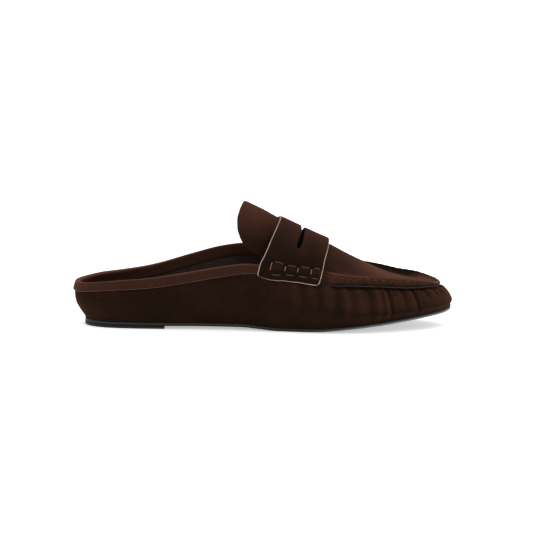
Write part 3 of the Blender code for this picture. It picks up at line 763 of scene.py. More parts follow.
# The rows above and below the tufts, and the lip's stitches, are a thinner, duller thread.
ROW_THREAD = Finish("row_thread", "#35221b", "#523a2f", 0.6, 0.5 * MM, 0.06 * MM)
# The tongue's lining is held with a fine dark thread.
DARK_THREAD = Finish("dark_thread", "#150d0a", "#241813", 0.7, 0.5 * MM, 0.05 * MM)
# Near-black painted shadow: the slot's walls, the apron seen through the slot, and the awl holes.
PAINTED_SHADOW = Finish("painted_hole_shadow", "#050302", "#0a0605", 1.0, 1.0 * MM, 0.05 * MM, gloss=0.02)


def sheet_faces(rows: int, columns: int, skip: Callable | None = None) -> list:
    """Quads of a grid, row by row.

    Args:
        rows: number of rows.
        columns: number of columns.
        skip: says whether the cell of a row and a column stays open.

    Returns:
        Tuples of four corners.
    """
    faces = []
    for i in range(rows - 1):
        after = (i + 1) * columns
        for j in range(columns - 1):
            if skip is None or not skip(i, j):
                faces.append((i * columns + j, i * columns + j + 1, after + j + 1, after + j))
    return faces


# Painted light from above is zero where a face leans back by this much, measured by its normal's height;
# flatter faces get a painted highlight, steeper ones painted shade.
EVEN_LIGHT_TILT = 0.55


def paint_light_from_above(mesh: bpy.types.Mesh) -> None:
    """Paints light from above into the colour: a painted highlight where a face turns up, painted shade on
    the sides.
    """
    normals = np.zeros(len(mesh.vertices) * 3, np.float32)
    mesh.vertices.foreach_get("normal", normals)
    tone_and_painted_light = np.zeros(len(mesh.vertices), np.float32)
    attribute = mesh.attributes["tone_and_painted_light"].data
    attribute.foreach_get("value", tone_and_painted_light)
    attribute.foreach_set("value", tone_and_painted_light + np.clip(normals[2::3], 0.0, 1.0) - EVEN_LIGHT_TILT)


def make_piece(
    name: str,
    points: Array,
    faces: list,
    finishes: Sequence[Finish],
    looks: Iterable[int] = (),
    tone_and_painted_light: Array | None = None,
    crease: float = 35.0,
) -> bpy.types.Object:
    """A finished mesh piece that rides on the shoe.

    Args:
        name: the piece's name.
        points: its points, in the last's own place.
        faces: tuples of corners.
        finishes: its finishes, in the order of looks.
        looks: the number of the finish of each face.
        tone_and_painted_light: how far each point's colour is lifted or lowered, mostly by painted highlight
            and shade, partly by plain tone.
        crease: faces that meet at more than this angle in degrees stay sharp.

    Returns:
        The object.
    """
    mesh = bpy.data.meshes.new(name)
    mesh.from_pydata((np.asarray(points, float) - LAST_ORIGIN).tolist(), [], faces)
    for finish in finishes:
        mesh.materials.append(finish.material())
    looks = list(looks)
    if looks:
        mesh.polygons.foreach_set("material_index", looks)
    if tone_and_painted_light is None:
        tone_and_painted_light = np.zeros(len(points))
    mesh.attributes.new("tone_and_painted_light", "FLOAT", "POINT").data.foreach_set("value", np.asarray(tone_and_painted_light, np.float32))
    work = bmesh.new()
    work.from_mesh(mesh)
    bmesh.ops.delete(work, geom=[v for v in work.verts if not v.link_faces], context="VERTS")
    bmesh.ops.remove_doubles(work, verts=work.verts, dist=1e-7)
    bmesh.ops.recalc_face_normals(work, faces=work.faces)
    work.to_mesh(mesh)
    work.free()
    # Painted highlight on faces that turn up, painted shade on the sides.
    paint_light_from_above(mesh)
    mesh.shade_smooth()
    mesh.set_sharp_from_angle(angle=math.radians(crease))
    made = bpy.data.objects.new(name, mesh)
    bpy.context.collection.objects.link(made)
    return made


def thick_sheet(
    name: str,
    front: Array,
    back: Array,
    faces: list,
    finishes: Sequence[Finish],
    tone_and_painted_light: Array | None = None,
    crease: float = 35.0,
    face_looks: Sequence[int] | None = None,
    edge_look: Callable | None = None,
) -> bpy.types.Object:
    """A piece cut from one sheet: a face, a back and an edge all round.

    Args:
        name: the piece's name.
        front: points of the face.
        back: points of the back, one for each of the face.
        faces: the face's quads.
        finishes: of the face, the back and the edge.
        tone_and_painted_light: how far each point of the face is lifted or lowered in colour, mostly by
            painted highlight and shade, partly by plain tone.
        crease: faces that meet at more than this angle in degrees stay sharp.
        face_looks: the finish of each quad of the face, where it isn't the first.
        edge_look: the finish of the edge after a corner, where it isn't the third.

    Returns:
        The object.
    """
    front, back = np.asarray(front, float).reshape(-1, 3), np.asarray(back, float).reshape(-1, 3)
    count = len(front)
    uses: dict = {}
    for face in faces:
        for start, end in zip(face, face[1:] + face[:1]):
            uses.setdefault((min(start, end), max(start, end)), []).append((start, end))
    solid = list(faces) + [tuple(count + corner for corner in reversed(face)) for face in faces]
    looks = list(face_looks or [0] * len(faces)) + [1] * len(faces)
    for ends in uses.values():
        if len(ends) == 1:
            start, end = ends[0]
            solid.append((end, start, start + count, end + count))
            looks.append(edge_look(start, end) if edge_look else 2)
    both = None if tone_and_painted_light is None else np.concatenate([np.ravel(tone_and_painted_light), np.zeros(count)])
    return make_piece(name, np.concatenate([front, back]), solid, finishes, looks, both, crease)


def swept_body(
    name: str, loops: Array, finishes: Sequence[Finish], side_looks: Sequence[int], crease: float = 35.0
) -> bpy.types.Object:
    """A piece through closed loops of points, capped at both ends.

    Args:
        name: the piece's name.
        loops: sections by corners by three.
        finishes: its finishes.
        side_looks: the finish of the strip after each corner.
        crease: faces that meet at more than this angle in degrees stay sharp.

    Returns:
        The object.
    """
    sections, corners = loops.shape[:2]
    faces, looks = [], []
    for i in range(sections - 1):
        for j in range(corners):
            after = (j + 1) % corners
            here, ahead = i * corners, (i + 1) * corners
            faces.append((here + j, here + after, ahead + after, ahead + j))
            looks.append(side_looks[j])
    faces.append(tuple(reversed(range(corners))))
    faces.append(tuple((sections - 1) * corners + j for j in range(corners)))
    looks += [0, 0]
    return make_piece(name, loops.reshape(-1, 3), faces, finishes, looks, None, crease)


def finer(control: Array, steps: Sequence[int]) -> Array:
    """A smooth grid through the columns of a coarse one.

    Args:
        control: rows by columns by three.
        steps: how many columns follow each column but the last.

    Returns:
        The finer grid.
    """
    lengths = np.linalg.norm(np.diff(control, axis=1), axis=-1).mean(0)
    knots = np.concatenate([[0], np.cumsum(np.maximum(lengths, 1e-5))])
    places = np.concatenate(
        [knots[i] + (knots[i + 1] - knots[i]) * np.arange(n) / n for i, n in enumerate(steps)]
        + [knots[-1:]]
    )
    grid = np.zeros((len(control), len(places), 3))
    steps_k = np.diff(knots)
    grades = np.diff(control, axis=1) / steps_k[None, :, None]
    inner = (grades[:, :-1] * steps_k[None, 1:, None] + grades[:, 1:] * steps_k[None, :-1, None]) / (
        steps_k[1:] + steps_k[:-1]
    )[None, :, None]
    slopes = np.concatenate([grades[:, :1], inner, grades[:, -1:]], 1)
    at = np.clip(np.searchsorted(knots, places, side="right") - 1, 0, len(steps_k) - 1)
    step = steps_k[at][None, :, None]
    t = ((places - knots[at]) / steps_k[at])[None, :, None]
    grid += control[:, at] * (1 + 2 * t) * (1 - t) ** 2 + slopes[:, at] * step * t * (1 - t) ** 2
    grid += control[:, at + 1] * t * t * (3 - 2 * t) + slopes[:, at + 1] * step * t * t * (t - 1)
    return grid


def grid_out(grid: Array) -> Array:
    """Outward direction at each point of a grid."""
    along, over = np.gradient(grid, axis=0), np.gradient(grid, axis=1)
    return unit(np.cross(along, over))


def keep(piece: bpy.types.Object, slot: str, *nodes: str) -> bpy.types.Object:
    """Hangs a piece under the shoe's root empty and hides the CAD nodes that it stands for.

    Args:
        piece: the object.
        slot: not used.
        nodes: the CAD nodes that it stands for.

    Returns:
        The object.
    """
    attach(piece, "root")
    if nodes:
        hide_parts(*nodes)
    LOG.info("%s: %d faces", piece.name, len(piece.data.polygons))
    return piece


@dataclass
class SoleUnit:
    """Outsole with its rounded edge, and the low heel stuck under it."""

    overhang: float = 0.4 * MM
    thickness: float = LAST.outsole
    heel_length: float = 0.0550
    heel_height: float = LAST.heel_lift
    sections: int = 260
    # Inset and height of the edge's profile as shares of the thickness, from the bottom to the top.
    edge: tuple = (
        (0.62, 0.0), (0.30, 0.06), (0.10, 0.26), (0.0, 0.50), (0.0, 0.80), (0.06, 0.95), (0.20, 1.0),
    )
    # Strips of the edge, counted from the underside, that carry the painted floor reflection.
    reflecting_strips: int = 3
    # The outline is capped this many degrees short of its very back and tip.
    cap_turn: float = 1.5

    def slab(self, name: str, turns: Array, low: Array, high: Array, under: Finish) -> bpy.types.Object:
        """A flat layer with the sole's outline.

        Args:
            name: the piece's name.
            turns: places from the back to the tip.
            low: height of its underside at each place.
            high: height of its top at each place.
            under: finish of the underside.

        Returns:
            The object.
        """
        x, outer, inner = LAST.sole_plan(turns, self.overhang)
        side = np.sin(turns)
        loops = []
        for inset, level in self.edge:
            shrink = inset * (high - low) * side
            loops.append(np.stack([x, inner - shrink, low + level * (high - low)], -1))
        for inset, level in reversed(self.edge):
            shrink = inset * (high - low) * side
            loops.append(np.stack([x, outer + shrink, low + level * (high - low)], -1))
        loops = np.stack(loops, 1)
        count = len(self.edge)
        looks = [0] * (2 * count)
        for j in range(self.reflecting_strips):
            looks[j] = looks[2 * count - 2 - j] = 1
        looks[-1] = 1
        return swept_body(name, loops, (RUBBER, under), looks, 50.0)

    def build(self) -> None:
        """Makes the outsole and the heel."""
        first = math.radians(self.cap_turn)
        turns = np.linspace(first, math.radians(180 - self.cap_turn), self.sections)
        x = LAST.sole_plan(turns, self.overhang)[0]
        outsole = self.slab("outsole_dressed", turns, LAST.ground_line(x), LAST.sole_line(x), UNDERSIDE)
        keep(outsole, "sole", "outsole")
        back, tip = LAST.ring_ends(Ring.FEATHER)
        last = math.acos(1 - 2 * self.heel_length / (tip - back))
        turns = np.linspace(first, last, self.sections // 4)
        flat = np.zeros(len(turns))
        heel = self.slab("heel_dressed", turns, flat, flat + self.heel_height, UNDERSIDE)
        keep(heel, "sole", "heel_lift")


@dataclass
class Footbed:
    """The insole board under its leather sock, rounded at its edge and hollowed a little for the heel."""

    inset: float = 2.5 * MM
    flare: float = 0.8 * MM
    thickness: float = 3.2 * MM
    hollow: float = 0.5 * MM
    # The hollow fades out between these two places along the shoe.
    hollow_fade: tuple = (-0.09, -0.03)
    edge_round: float = 0.9 * MM
    edge_from: float = 0.90
    cap_turn: float = 3.0
    sections: int = 200
    breadth: int = 34

    def build(self) -> None:
        """Makes the footbed."""
        ends = math.radians(self.cap_turn), math.radians(180 - self.cap_turn)
        turns = np.linspace(*ends, self.sections)
        x, outer, inner = LAST.sole_plan(turns, -self.inset)
        flare = self.flare * np.sin(turns)
        low = LAST.sole_line(x) + LAST.gap
        across = np.sin(np.linspace(-math.pi / 2, math.pi / 2, self.breadth))
        middle, half = (outer + inner) / 2, (inner - outer) / 2 + flare
        top = []
        for q in across:
            dip = self.hollow * (1 - q * q) * (1 - smooth(*self.hollow_fade, x))
            round_off = self.edge_round * smooth(self.edge_from, 1.0, abs(q))
            top.append(np.stack([x, middle + q * half, low + self.thickness - dip - round_off], -1))
        bottom = [np.stack([x, inner, low], -1), np.stack([x, outer, low], -1)]
        loops = np.stack(top + bottom, 1)
        footbed = swept_body("footbed_dressed", loops, (LINING,), [0] * (self.breadth + 2), 60.0)
        keep(footbed, "lining", "insole")


class Fold(Enum):
    """Kind of gather: a raised soft ridge, a soft trough, or a sharp crease."""

    RIDGE = 1
    TROUGH = 2
    CREASE = 3


# Gathers of the side wall, hand-set under the seam. Places in millimetres along the shoe at the seam
# and at the foot of the fold, height and half width in millimetres, and how far down the wall it runs.
OUTER_FOLDS = (
    (Fold.RIDGE, 21.0, 22.0, 0.50, 3.2, 0.85),
    (Fold.TROUGH, 27.5, 28.0, 0.45, 2.6, 0.60),
    (Fold.RIDGE, 33.0, 33.5, 0.35, 2.6, 0.70),
    (Fold.TROUGH, 38.5, 38.5, 0.45, 2.6, 0.65),
    (Fold.RIDGE, 44.0, 43.5, 0.45, 2.8, 0.80),
    (Fold.TROUGH, 50.5, 50.0, 0.70, 2.5, 0.80),
    (Fold.RIDGE, 55.8, 56.0, 0.80, 2.3, 0.85),
    (Fold.TROUGH, 61.2, 61.5, 0.50, 2.2, 0.75),
    (Fold.RIDGE, 66.0, 64.8, 0.50, 3.0, 0.90),
    (Fold.TROUGH, 73.2, 72.4, 1.05, 2.0, 1.00),
    (Fold.RIDGE, 78.2, 76.6, 0.85, 2.0, 1.00),
    (Fold.CREASE, 81.4, 79.4, 0.45, 0.9, 1.00),
    (Fold.RIDGE, 82.6, 82.6, 0.60, 1.8, 1.00),
    (Fold.CREASE, 85.4, 85.8, 1.30, 1.3, 1.00),
    (Fold.RIDGE, 92.0, 92.0, 0.60, 2.4, 0.80),
    (Fold.TROUGH, 95.4, 95.6, 0.75, 1.4, 0.60),
    (Fold.RIDGE, 99.2, 100.4, 0.75, 2.4, 0.85),
    (Fold.CREASE, 102.4, 104.6, 1.10, 1.2, 1.00),
    (Fold.RIDGE, 107.4, 109.6, 0.60, 2.2, 0.60),
    (Fold.TROUGH, 111.0, 113.4, 0.65, 1.3, 0.45),
    (Fold.RIDGE, 114.2, 117.6, 0.60, 1.8, 0.45),
    (Fold.CREASE, 117.0, 120.8, 0.60, 0.9, 0.40),
)
INNER_FOLDS = (
    (Fold.RIDGE, 24.0, 25.0, 0.45, 3.4, 0.80),
    (Fold.TROUGH, 34.0, 35.0, 0.40, 3.6, 0.60),
    (Fold.RIDGE, 44.5, 46.0, 0.50, 2.8, 0.80),
    (Fold.TROUGH, 51.5, 54.5, 0.65, 2.4, 0.85),
    (Fold.RIDGE, 58.0, 61.0, 0.60, 2.6, 0.85),
    (Fold.TROUGH, 64.0, 68.0, 0.70, 2.0, 0.90),
    (Fold.RIDGE, 69.5, 72.5, 0.65, 2.4, 0.90),
    (Fold.CREASE, 75.0, 79.0, 1.00, 1.4, 1.00),
    (Fold.RIDGE, 79.5, 83.0, 0.80, 2.4, 1.00),
    (Fold.TROUGH, 84.5, 88.5, 0.90, 1.6, 0.95),
    (Fold.RIDGE, 88.5, 92.5, 0.65, 2.2, 0.85),
    (Fold.CREASE, 93.0, 97.5, 0.95, 1.2, 0.90),
    (Fold.RIDGE, 97.0, 101.5, 0.70, 2.2, 0.80),
    (Fold.TROUGH, 101.5, 106.0, 0.75, 1.4, 0.75),
    (Fold.RIDGE, 105.5, 110.0, 0.60, 2.0, 0.60),
    (Fold.TROUGH, 109.5, 114.0, 0.60, 1.3, 0.50),
    (Fold.RIDGE, 113.2, 118.0, 0.60, 1.8, 0.45),
)
# Short gathers round the tip: turn in degrees at the seam and at the foot.
TIP_FOLDS = (
    (Fold.TROUGH, 164.0, 163.0, 0.55, 1.2, 0.40),
    (Fold.RIDGE, 168.5, 168.0, 0.55, 1.6, 0.40),
    (Fold.TROUGH, 173.0, 172.5, 0.50, 1.2, 0.38),
    (Fold.RIDGE, 177.5, 177.5, 0.50, 1.5, 0.38),
    (Fold.TROUGH, 182.5, 182.5, 0.50, 1.2, 0.38),
    (Fold.RIDGE, 187.0, 187.5, 0.50, 1.5, 0.38),
    (Fold.TROUGH, 191.5, 192.0, 0.50, 1.2, 0.38),
    (Fold.RIDGE, 196.0, 196.5, 0.50, 1.5, 0.40),
)


def fold_shape(kind: Fold, away: Array) -> Array:
    """Height across a gather.

    Args:
        kind: ridge, trough or crease.
        away: distance from its middle in half widths.

    Returns:
        Share of its full height, below zero where it is sunk.
    """
    if kind is Fold.CREASE:
        pit, shoulder = np.sqrt(away * away + 0.05) - 0.22, (away - 2.0) ** 2
        return -np.exp(-1.6 * pit) + 0.35 * np.exp(-shoulder)
    return np.exp(-away * away) * (1 if kind is Fold.RIDGE else -1)


@dataclass
class SideWall:
    """The suede wall round the foot: smooth at the heel, gathered under the seam at the forefoot."""

    thickness: float = 1.7 * MM
    lip_depth: float = 10.0 * MM
    heel_step: float = 1.4
    fore_step: float = 0.27
    rows: int = 56
    inner_rows: int = 18
    groove: float = 1.1 * MM
    groove_low: float = 0.5 * MM
    groove_half: float = 1.5 * MM
    hem_groove: float = 0.7 * MM
    hem_half: float = 0.8 * MM
    deepest: float = 1.3 * MM
    # A gather this high gets the full painted highlight on its ridge and the full painted shade in its
    # trough; the sides get painted shade, more on the forefoot, and the tip is set lighter.
    full_light_rise: float = 1.8 * MM
    side_painted_shade: float = 0.25
    fore_painted_shade: float = 0.10
    tip_lighter: float = 0.75

    def turns(self) -> Array:
        """Places round the shoe, close together where the gathers are."""
        fore = np.arange(84, 276, self.fore_step)
        heel = np.arange(276, 360 + 84, self.heel_step)
        return np.radians(np.concatenate([fore, heel]))

    def folds(self, turns: Array, ups: Array, reach: Array) -> Array:
        """Height of the gathers.

        Args:
            turns: places round the shoe.
            ups: shares up the wall.
            reach: share up the wall where the apron's lip ends, at each turn.

        Returns:
            Outward distance at each turn and share.
        """
        turn, up = np.meshgrid(turns, ups, indexing="ij")
        small = 1e-3
        ahead = LAST.wall(turn + small, up)
        arc = np.linalg.norm(ahead - LAST.wall(turn - small, up), axis=-1) / (2 * small)
        down = (reach[:, None] - up) / reach[:, None]
        total = np.zeros(turn.shape)
        rows = [(r, Side.OUTER) for r in OUTER_FOLDS] + [(r, Side.INNER) for r in INNER_FOLDS]
        rows += [(r, None) for r in TIP_FOLDS]
        for (kind, top, foot, height, width, length), side in rows:
            if side is None:
                start, end = math.radians(top), math.radians(foot)
            else:
                start = float(LAST.turn_at(top * MM, side, Ring.SHOULDER))
                end = float(LAST.turn_at(foot * MM, side, Ring.FEATHER))
            centre = start + (end - start) * np.clip(down, 0, 1) ** 1.25
            away = np.abs(np.angle(np.exp(1j * (turn - centre)))) * arc / (width * MM)
            fade = smooth(-0.10, 0.07, down) * (1 - smooth(0.55 * length, 1.02 * length, down))
            total += height * MM * fold_shape(kind, away) * fade
        top = np.ones(len(turns))
        wall = (np.linalg.norm(LAST.wall(turns, top) - LAST.wall(turns, 0.7 * top), axis=-1) / 0.3)[:, None]
        rim_x = LAST.ring_plan(Ring.RIM, turns)[0]
        free = smooth(placed(0.655), placed(0.70), rim_x)[:, None]
        below = (reach[:, None] - up) * wall
        total -= self.groove * free * np.exp(-(((below - self.groove_low) / self.groove_half) ** 2))
        _, back, front = STRAP_EDGE.rows[-1]
        across = (LAST.share(rim_x) - back) / (front - back)
        held = (smooth(-0.02, 0.03, across) * (1 - smooth(0.97, 1.02, across)))[:, None]
        hem = STRAP_DEPTH * STRAP_HEM.at("depth", np.clip(across, 0, 1), gentle=True)
        hem -= LAST.ridge_seat * LAST.seam("seat", rim_x)
        below = (LAST.up_at_depth(turns, hem)[:, None] - up) * wall
        total -= self.hem_groove * held * np.exp(-(((below - 0.5 * self.hem_half) / self.hem_half) ** 2))
        return np.where(total < 0, -self.deepest * np.tanh(-total / self.deepest), total)

    def build(self) -> None:
        """Makes the wall."""
        turns = self.turns()
        rim_x = LAST.ring_plan(Ring.RIM, turns)[0]
        lip = self.lip_depth * LAST.seam("lip", rim_x) - LAST.ridge_seat * LAST.seam("seat", rim_x)
        reach = LAST.up_at_depth(turns, lip)
        ups = np.linspace(0, 1, self.rows)
        point, out, _ = LAST.wall_frame(turns[:, None], ups[None, :])
        raised = self.folds(turns, ups, reach)
        outer = point + raised[..., None] * out
        inner_ups = np.linspace(1, 0, self.inner_rows)
        point, out, _ = LAST.wall_frame(turns[:, None], inner_ups[None, :])
        inner = point - self.thickness * out
        grid = np.concatenate([outer, inner], 1)
        count, columns = grid.shape[:2]
        faces, looks = [], []
        for i in range(count):
            after = (i + 1) % count
            for j in range(columns):
                k = (j + 1) % columns
                faces.append((i * columns + j, i * columns + k, after * columns + k, after * columns + j))
                looks.append(1 if j >= self.rows else 0)
        # Painted light on the wall: highlight on the gathers' ridges and shade in their troughs, shade on
        # the sides and forefoot; lighter towards the tip.
        nap = raised / self.full_light_rise - self.side_painted_shade
        nap -= self.fore_painted_shade * smooth(placed(0.60), placed(0.72), outer[..., 0])
        nap += self.tip_lighter * smooth(placed(0.90), placed(0.99), outer[..., 0])
        tone_and_painted_light = np.concatenate([nap, np.zeros(inner.shape[:2])], 1)
        wall = make_piece(
            "side_wall", grid.reshape(-1, 3), faces, (SUEDE, LINING), looks, tone_and_painted_light.ravel(), 50.0
        )
        keep(wall, "suede", "upper")


@dataclass
class CollarBinding:
    """The strip folded over the collar's edge, from under the strap round the heel."""

    thickness: float = 0.9 * MM
    depth: float = 7.2 * MM
    inner_depth: float = 7.0 * MM
    wall: float = 1.7 * MM
    end: float = 0.5170
    columns: int = 420
    # Columns and half widths of the two painted highlight lines along the fold, near and far, and how strong
    # each is.
    folds: tuple = ((21.5, 3.0, 2.6), (27.0, 2.0, 2.2))
    # From one share of the binding's breadth to the next, it is painted this much lighter: painted light
    # over the fold and on its inner face.
    band_painted_light: tuple = ((0.30, 0.36, 0.4), (0.55, 0.62, 0.8))
    edge_round: tuple = (0.35 * MM, 0.10 * MM)

    def grid(self) -> tuple[Array, Array]:
        """Face and back of the binding, from its outer lower edge over the collar to the inside."""
        x = (self.end - 0.5) * LAST.length
        start, end = LAST.turn_at(x, Side.OUTER), LAST.turn_at(x, Side.INNER) - 2 * math.pi
        turns = np.linspace(start, end, self.columns)
        rim, out, rise = LAST.wall_frame(turns, np.ones(len(turns)))
        gap = LAST.gap
        face = gap + self.thickness
        front, back = [], []
        reach = self.depth * SIDE.at("band", LAST.share(rim[:, 0]))
        for depth in (reach, 0.75 * reach, 0.5 * reach, 0.25 * reach, np.full(len(turns), gap)):
            point, away, _ = LAST.wall_frame(turns, LAST.up_at_depth(turns, depth))
            front.append(point + face * away)
            back.append(point + gap * away)
        for turn in np.radians([30, 60, 90]):
            front.append(rim + face * (math.cos(turn) * out + math.sin(turn) * rise))
            back.append(rim + gap * (math.cos(turn) * out + math.sin(turn) * rise))
        inside = rim - self.wall * out
        for turn in np.radians([90, 120, 150]):
            front.append(inside + face * (math.cos(turn) * out + math.sin(turn) * rise))
            back.append(inside + gap * (math.cos(turn) * out + math.sin(turn) * rise))
        for share in (0.04, 0.35, 0.7, 1.0):
            point, away, _ = LAST.wall_frame(turns, LAST.up_at_depth(turns, share * self.inner_depth))
            front.append(point - (self.wall + face) * away)
            back.append(point - (self.wall + gap) * away)
        steps = [3] * (len(front) - 1)
        steps[0], steps[-1] = 6, 6
        return finer(np.stack(front, 1), steps), finer(np.stack(back, 1), steps)

    def build(self) -> None:
        """Makes the binding."""
        front, back = self.grid()
        out = grid_out(front)
        if np.sum(out[:, 3] * (front[:, 3] - back[:, 3])) < 0:
            out = -out
        columns = front.shape[1]
        edge = np.zeros(columns)
        edge[:2] -= self.edge_round
        edge[-2:] -= self.edge_round[::-1]
        front = front + edge[None, :, None] * out
        faces = sheet_faces(*front.shape[:2])
        looks = [2 if f[0] % columns < 1 else 0 for f in faces]
        # Painted light over the fold and on the inner face, and painted highlight lines along the fold.
        tone_and_painted_light = np.zeros(front.shape[:2])
        place = np.arange(columns)
        for low, high, amount in self.band_painted_light:
            tone_and_painted_light += amount * smooth(low, high, place / columns)
        for centre, width, amount in self.folds:
            tone_and_painted_light += amount * np.exp(-(((place - centre) / width) ** 2))
        finishes = (BINDING, BINDING, DYED_EDGE)
        band = thick_sheet("collar_binding", front, back, faces, finishes, tone_and_painted_light, 45.0, looks)
        keep(band, "binding", "collar_band")


@dataclass
class Apron:
    """The plug over the toes with its raised seam and the lip turned down over the side wall."""

    thickness: float = 1.6 * MM
    lip_thickness: float = 1.8 * MM
    lip_depth: float = 10.0 * MM
    lip_bulge: float = 1.0 * MM
    edge_lift: float = 0.8 * MM
    stitch_column: float = 8.0
    stitched_from: float = 0.662
    # Strengths of the painted highlight over the plug's top, the lighter lip face and crest line, and the
    # painted shade on the far half.
    brushing_and_highlight: float = 2.6
    lip_painted_light: float = 0.9
    crest_highlight: float = 2.8
    far_painted_shade: float = 0.8
    crest_column: float = 14.0
    # Up to this share of the length, the apron under the strap is painted shadow black, as seen through the
    # slot.
    shadow_black_to: float = 0.640
    valley_depth: float = 2.6 * MM
    valley_reach: float = 4.6 * MM
    wall: float = 1.7 * MM
    joint_rim: float = 0.5230
    joint_crown: float = 0.5846
    pole_inset: float = 0.0420
    rows: int = 540
    puff_pitch: float = 6.2 * MM
    puff: float = 0.34 * MM
    lip_puff_column: float = 6.5
    # Height and both wave lengths of the wobble along the lip's lower edge.
    wobble: float = 0.13 * MM
    wobble_long: float = 17 * MM
    wobble_short: float = 9.3 * MM
    # A puff this high has its full painted highlight.
    full_light_rise: float = 0.6 * MM

    def control(self, turns: Array) -> tuple[Array, Array]:
        """Face and back through the lip, the crest and the top.

        Args:
            turns: places round the rim.

        Returns:
            Two coarse grids, from the lip's lower edge to the middle line.
        """
        gap = LAST.gap
        rim, out, rise = LAST.wall_frame(turns, np.ones(len(turns)))
        rim_x = rim[:, 0]
        tip = LAST.ring_ends(Ring.RIM)[1]
        start_x, crown_x = (self.joint_rim - 0.5) * LAST.length, (self.joint_crown - 0.5) * LAST.length
        pole = tip - self.pole_inset * LAST.length
        centre_x = crown_x + (rim_x - start_x) * (pole - crown_x) / (tip - start_x)
        centre = LAST.arch(centre_x, np.zeros(len(turns)))
        thick = gap + self.lip_thickness * LAST.seam("thick", rim_x)[:, None]
        edge = np.stack([rim_x, rim[:, 1], LAST.edge_height(rim_x, turns)], -1)
        seat = (LAST.ridge_seat * LAST.seam("seat", rim_x))[:, None]
        lip = self.lip_depth * LAST.seam("lip", rim_x) - seat[:, 0]
        flat_out = unit(out * np.array([1, 1, 0]))
        lift = np.array([0, 0, 1.0])
        front, back = [], []
        full = np.clip(2 * LAST.seam("thick", rim_x) - 1, 0, 1)[:, None]
        for share in (1.0, 0.66, 0.33):
            point, away, _ = LAST.wall_frame(turns, LAST.up_at_depth(turns, share * lip))
            lifted = self.edge_lift * full * np.clip(2.5 * share - 1.5, 0, 1)
            front.append(point + thick * away)
            back.append(point + (gap + lifted) * away)
        front += [rim + thick * out, edge + 0.80 * thick * flat_out - 0.3 * seat * lift]
        back += [rim + gap * out, rim + gap * out + gap * rise]
        foot = front[0]
        for i in range(1, 5):
            t = i / 5
            bow = 4 * t * (1 - t) * self.lip_bulge * unit(flat_out + lift)
            front[i] = front[i] + full * (foot + (edge - foot) * t + bow - front[i])
        front.append(edge + 0.1 * thick * flat_out + 0.06 * seat * lift)
        back.append(rim + gap * rise)
        valley = LAST.seam("valley", rim_x)
        for share in (0.05, 0.10, 0.17, 0.26, 0.38, 0.52, 0.68, 0.84, 1.0):
            plan = edge + (centre - edge) * share
            outer_y = LAST.ring_plan(Ring.RIM, LAST.turn_at(plan[:, 0], Side.OUTER))[1]
            inner_y = LAST.ring_plan(Ring.RIM, LAST.turn_at(plan[:, 0], Side.INNER))[1]
            across = np.clip((2 * plan[:, 1] - outer_y - inner_y) / (inner_y - outer_y), -0.999, 0.999)
            across = across * (share < 1.0)
            top, away = LAST.arch(plan[:, 0], across), LAST.arch_out(plan[:, 0], across)
            distance = np.sum((edge - plan) * flat_out, axis=1)
            reach = np.clip(distance / self.valley_reach, 0, None)
            top[:, 2] -= self.valley_depth * valley * (reach * np.exp(1 - reach)) ** 1.5
            under = top - self.thickness * away
            near = (distance < self.wall + 2 * gap) * np.clip(valley / 0.4, 0, 1)
            under[:, 2] += near * (np.minimum(under[:, 2], rim[:, 2] + gap) - under[:, 2])
            front.append(top)
            back.append(under)
        return np.stack(front, 1), np.stack(back, 1)

    def build(self) -> None:
        """Makes the apron."""
        x = (self.joint_rim - 0.5) * LAST.length
        start, end = LAST.turn_at(x, Side.OUTER), LAST.turn_at(x, Side.INNER)
        turns = np.linspace(start, end, self.rows + 1)
        front, back = self.control(turns)
        steps = [3, 3, 3, 3, 4, 4, 4, 4, 4, 4, 4, 4, 4, 3]
        grid, under = finer(front, steps), finer(back, steps)
        out = grid_out(grid)
        if np.mean(out[:, -1, 2]) < 0:
            out = -out
        run = np.concatenate([[0], np.cumsum(np.linalg.norm(np.diff(grid[:, 9], axis=0), axis=1))])
        middle = run - run[len(run) // 2]
        pitch = self.puff_pitch * (1 - 0.30 * smooth(120 * MM, 30 * MM, np.abs(middle)))
        phase = np.concatenate([[0], np.cumsum(np.diff(run) / pitch[1:])])
        lobes = np.abs(np.sin(math.pi * phase)) ** 0.7
        toe = smooth(110 * MM, 25 * MM, np.abs(middle))
        columns = np.arange(grid.shape[1])
        on_lip = np.exp(-(((columns - self.lip_puff_column) / 3.6) ** 2))
        on_crest = np.exp(-(((columns - self.crest_column) / 4.0) ** 2))
        raised = (lobes[:, None] - 0.6) * self.puff * on_lip[None, :]
        raised = raised + (lobes[:, None] - 0.5) * self.puff * 0.9 * toe[:, None] * on_crest[None, :]
        lean = np.sin(2 * math.pi * run / self.wobble_long + 0.8)
        lean += 0.6 * np.sin(2 * math.pi * run / self.wobble_short)
        raised = raised + self.wobble * lean[:, None] * np.exp(-((columns / 4.0) ** 2))[None, :]
        raised[:, 0] -= 0.30 * MM
        raised[:, 1] -= 0.08 * MM
        grid = grid + raised[..., None] * out
        rows, count = grid.shape[:2]

        def shared(corner: int) -> int:
            """On the middle line the two sides share their points."""
            row, place = divmod(corner, count)
            if place == count - 1 and row > (rows - 1) // 2:
                row = rows - 1 - row
            return row * count + place

        points = grid.reshape(-1, 3)
        faces, looks = [], []
        for face in sheet_faces(rows, count):
            # Faces under the strap are painted shadow black, for the shade seen through the slot.
            under_strap_shadow = face[0] % count > 18 and LAST.share(points[face[0], 0]) < self.shadow_black_to
            looks.append(3 if under_strap_shadow else 0)
            faces.append(tuple(shared(corner) for corner in face))
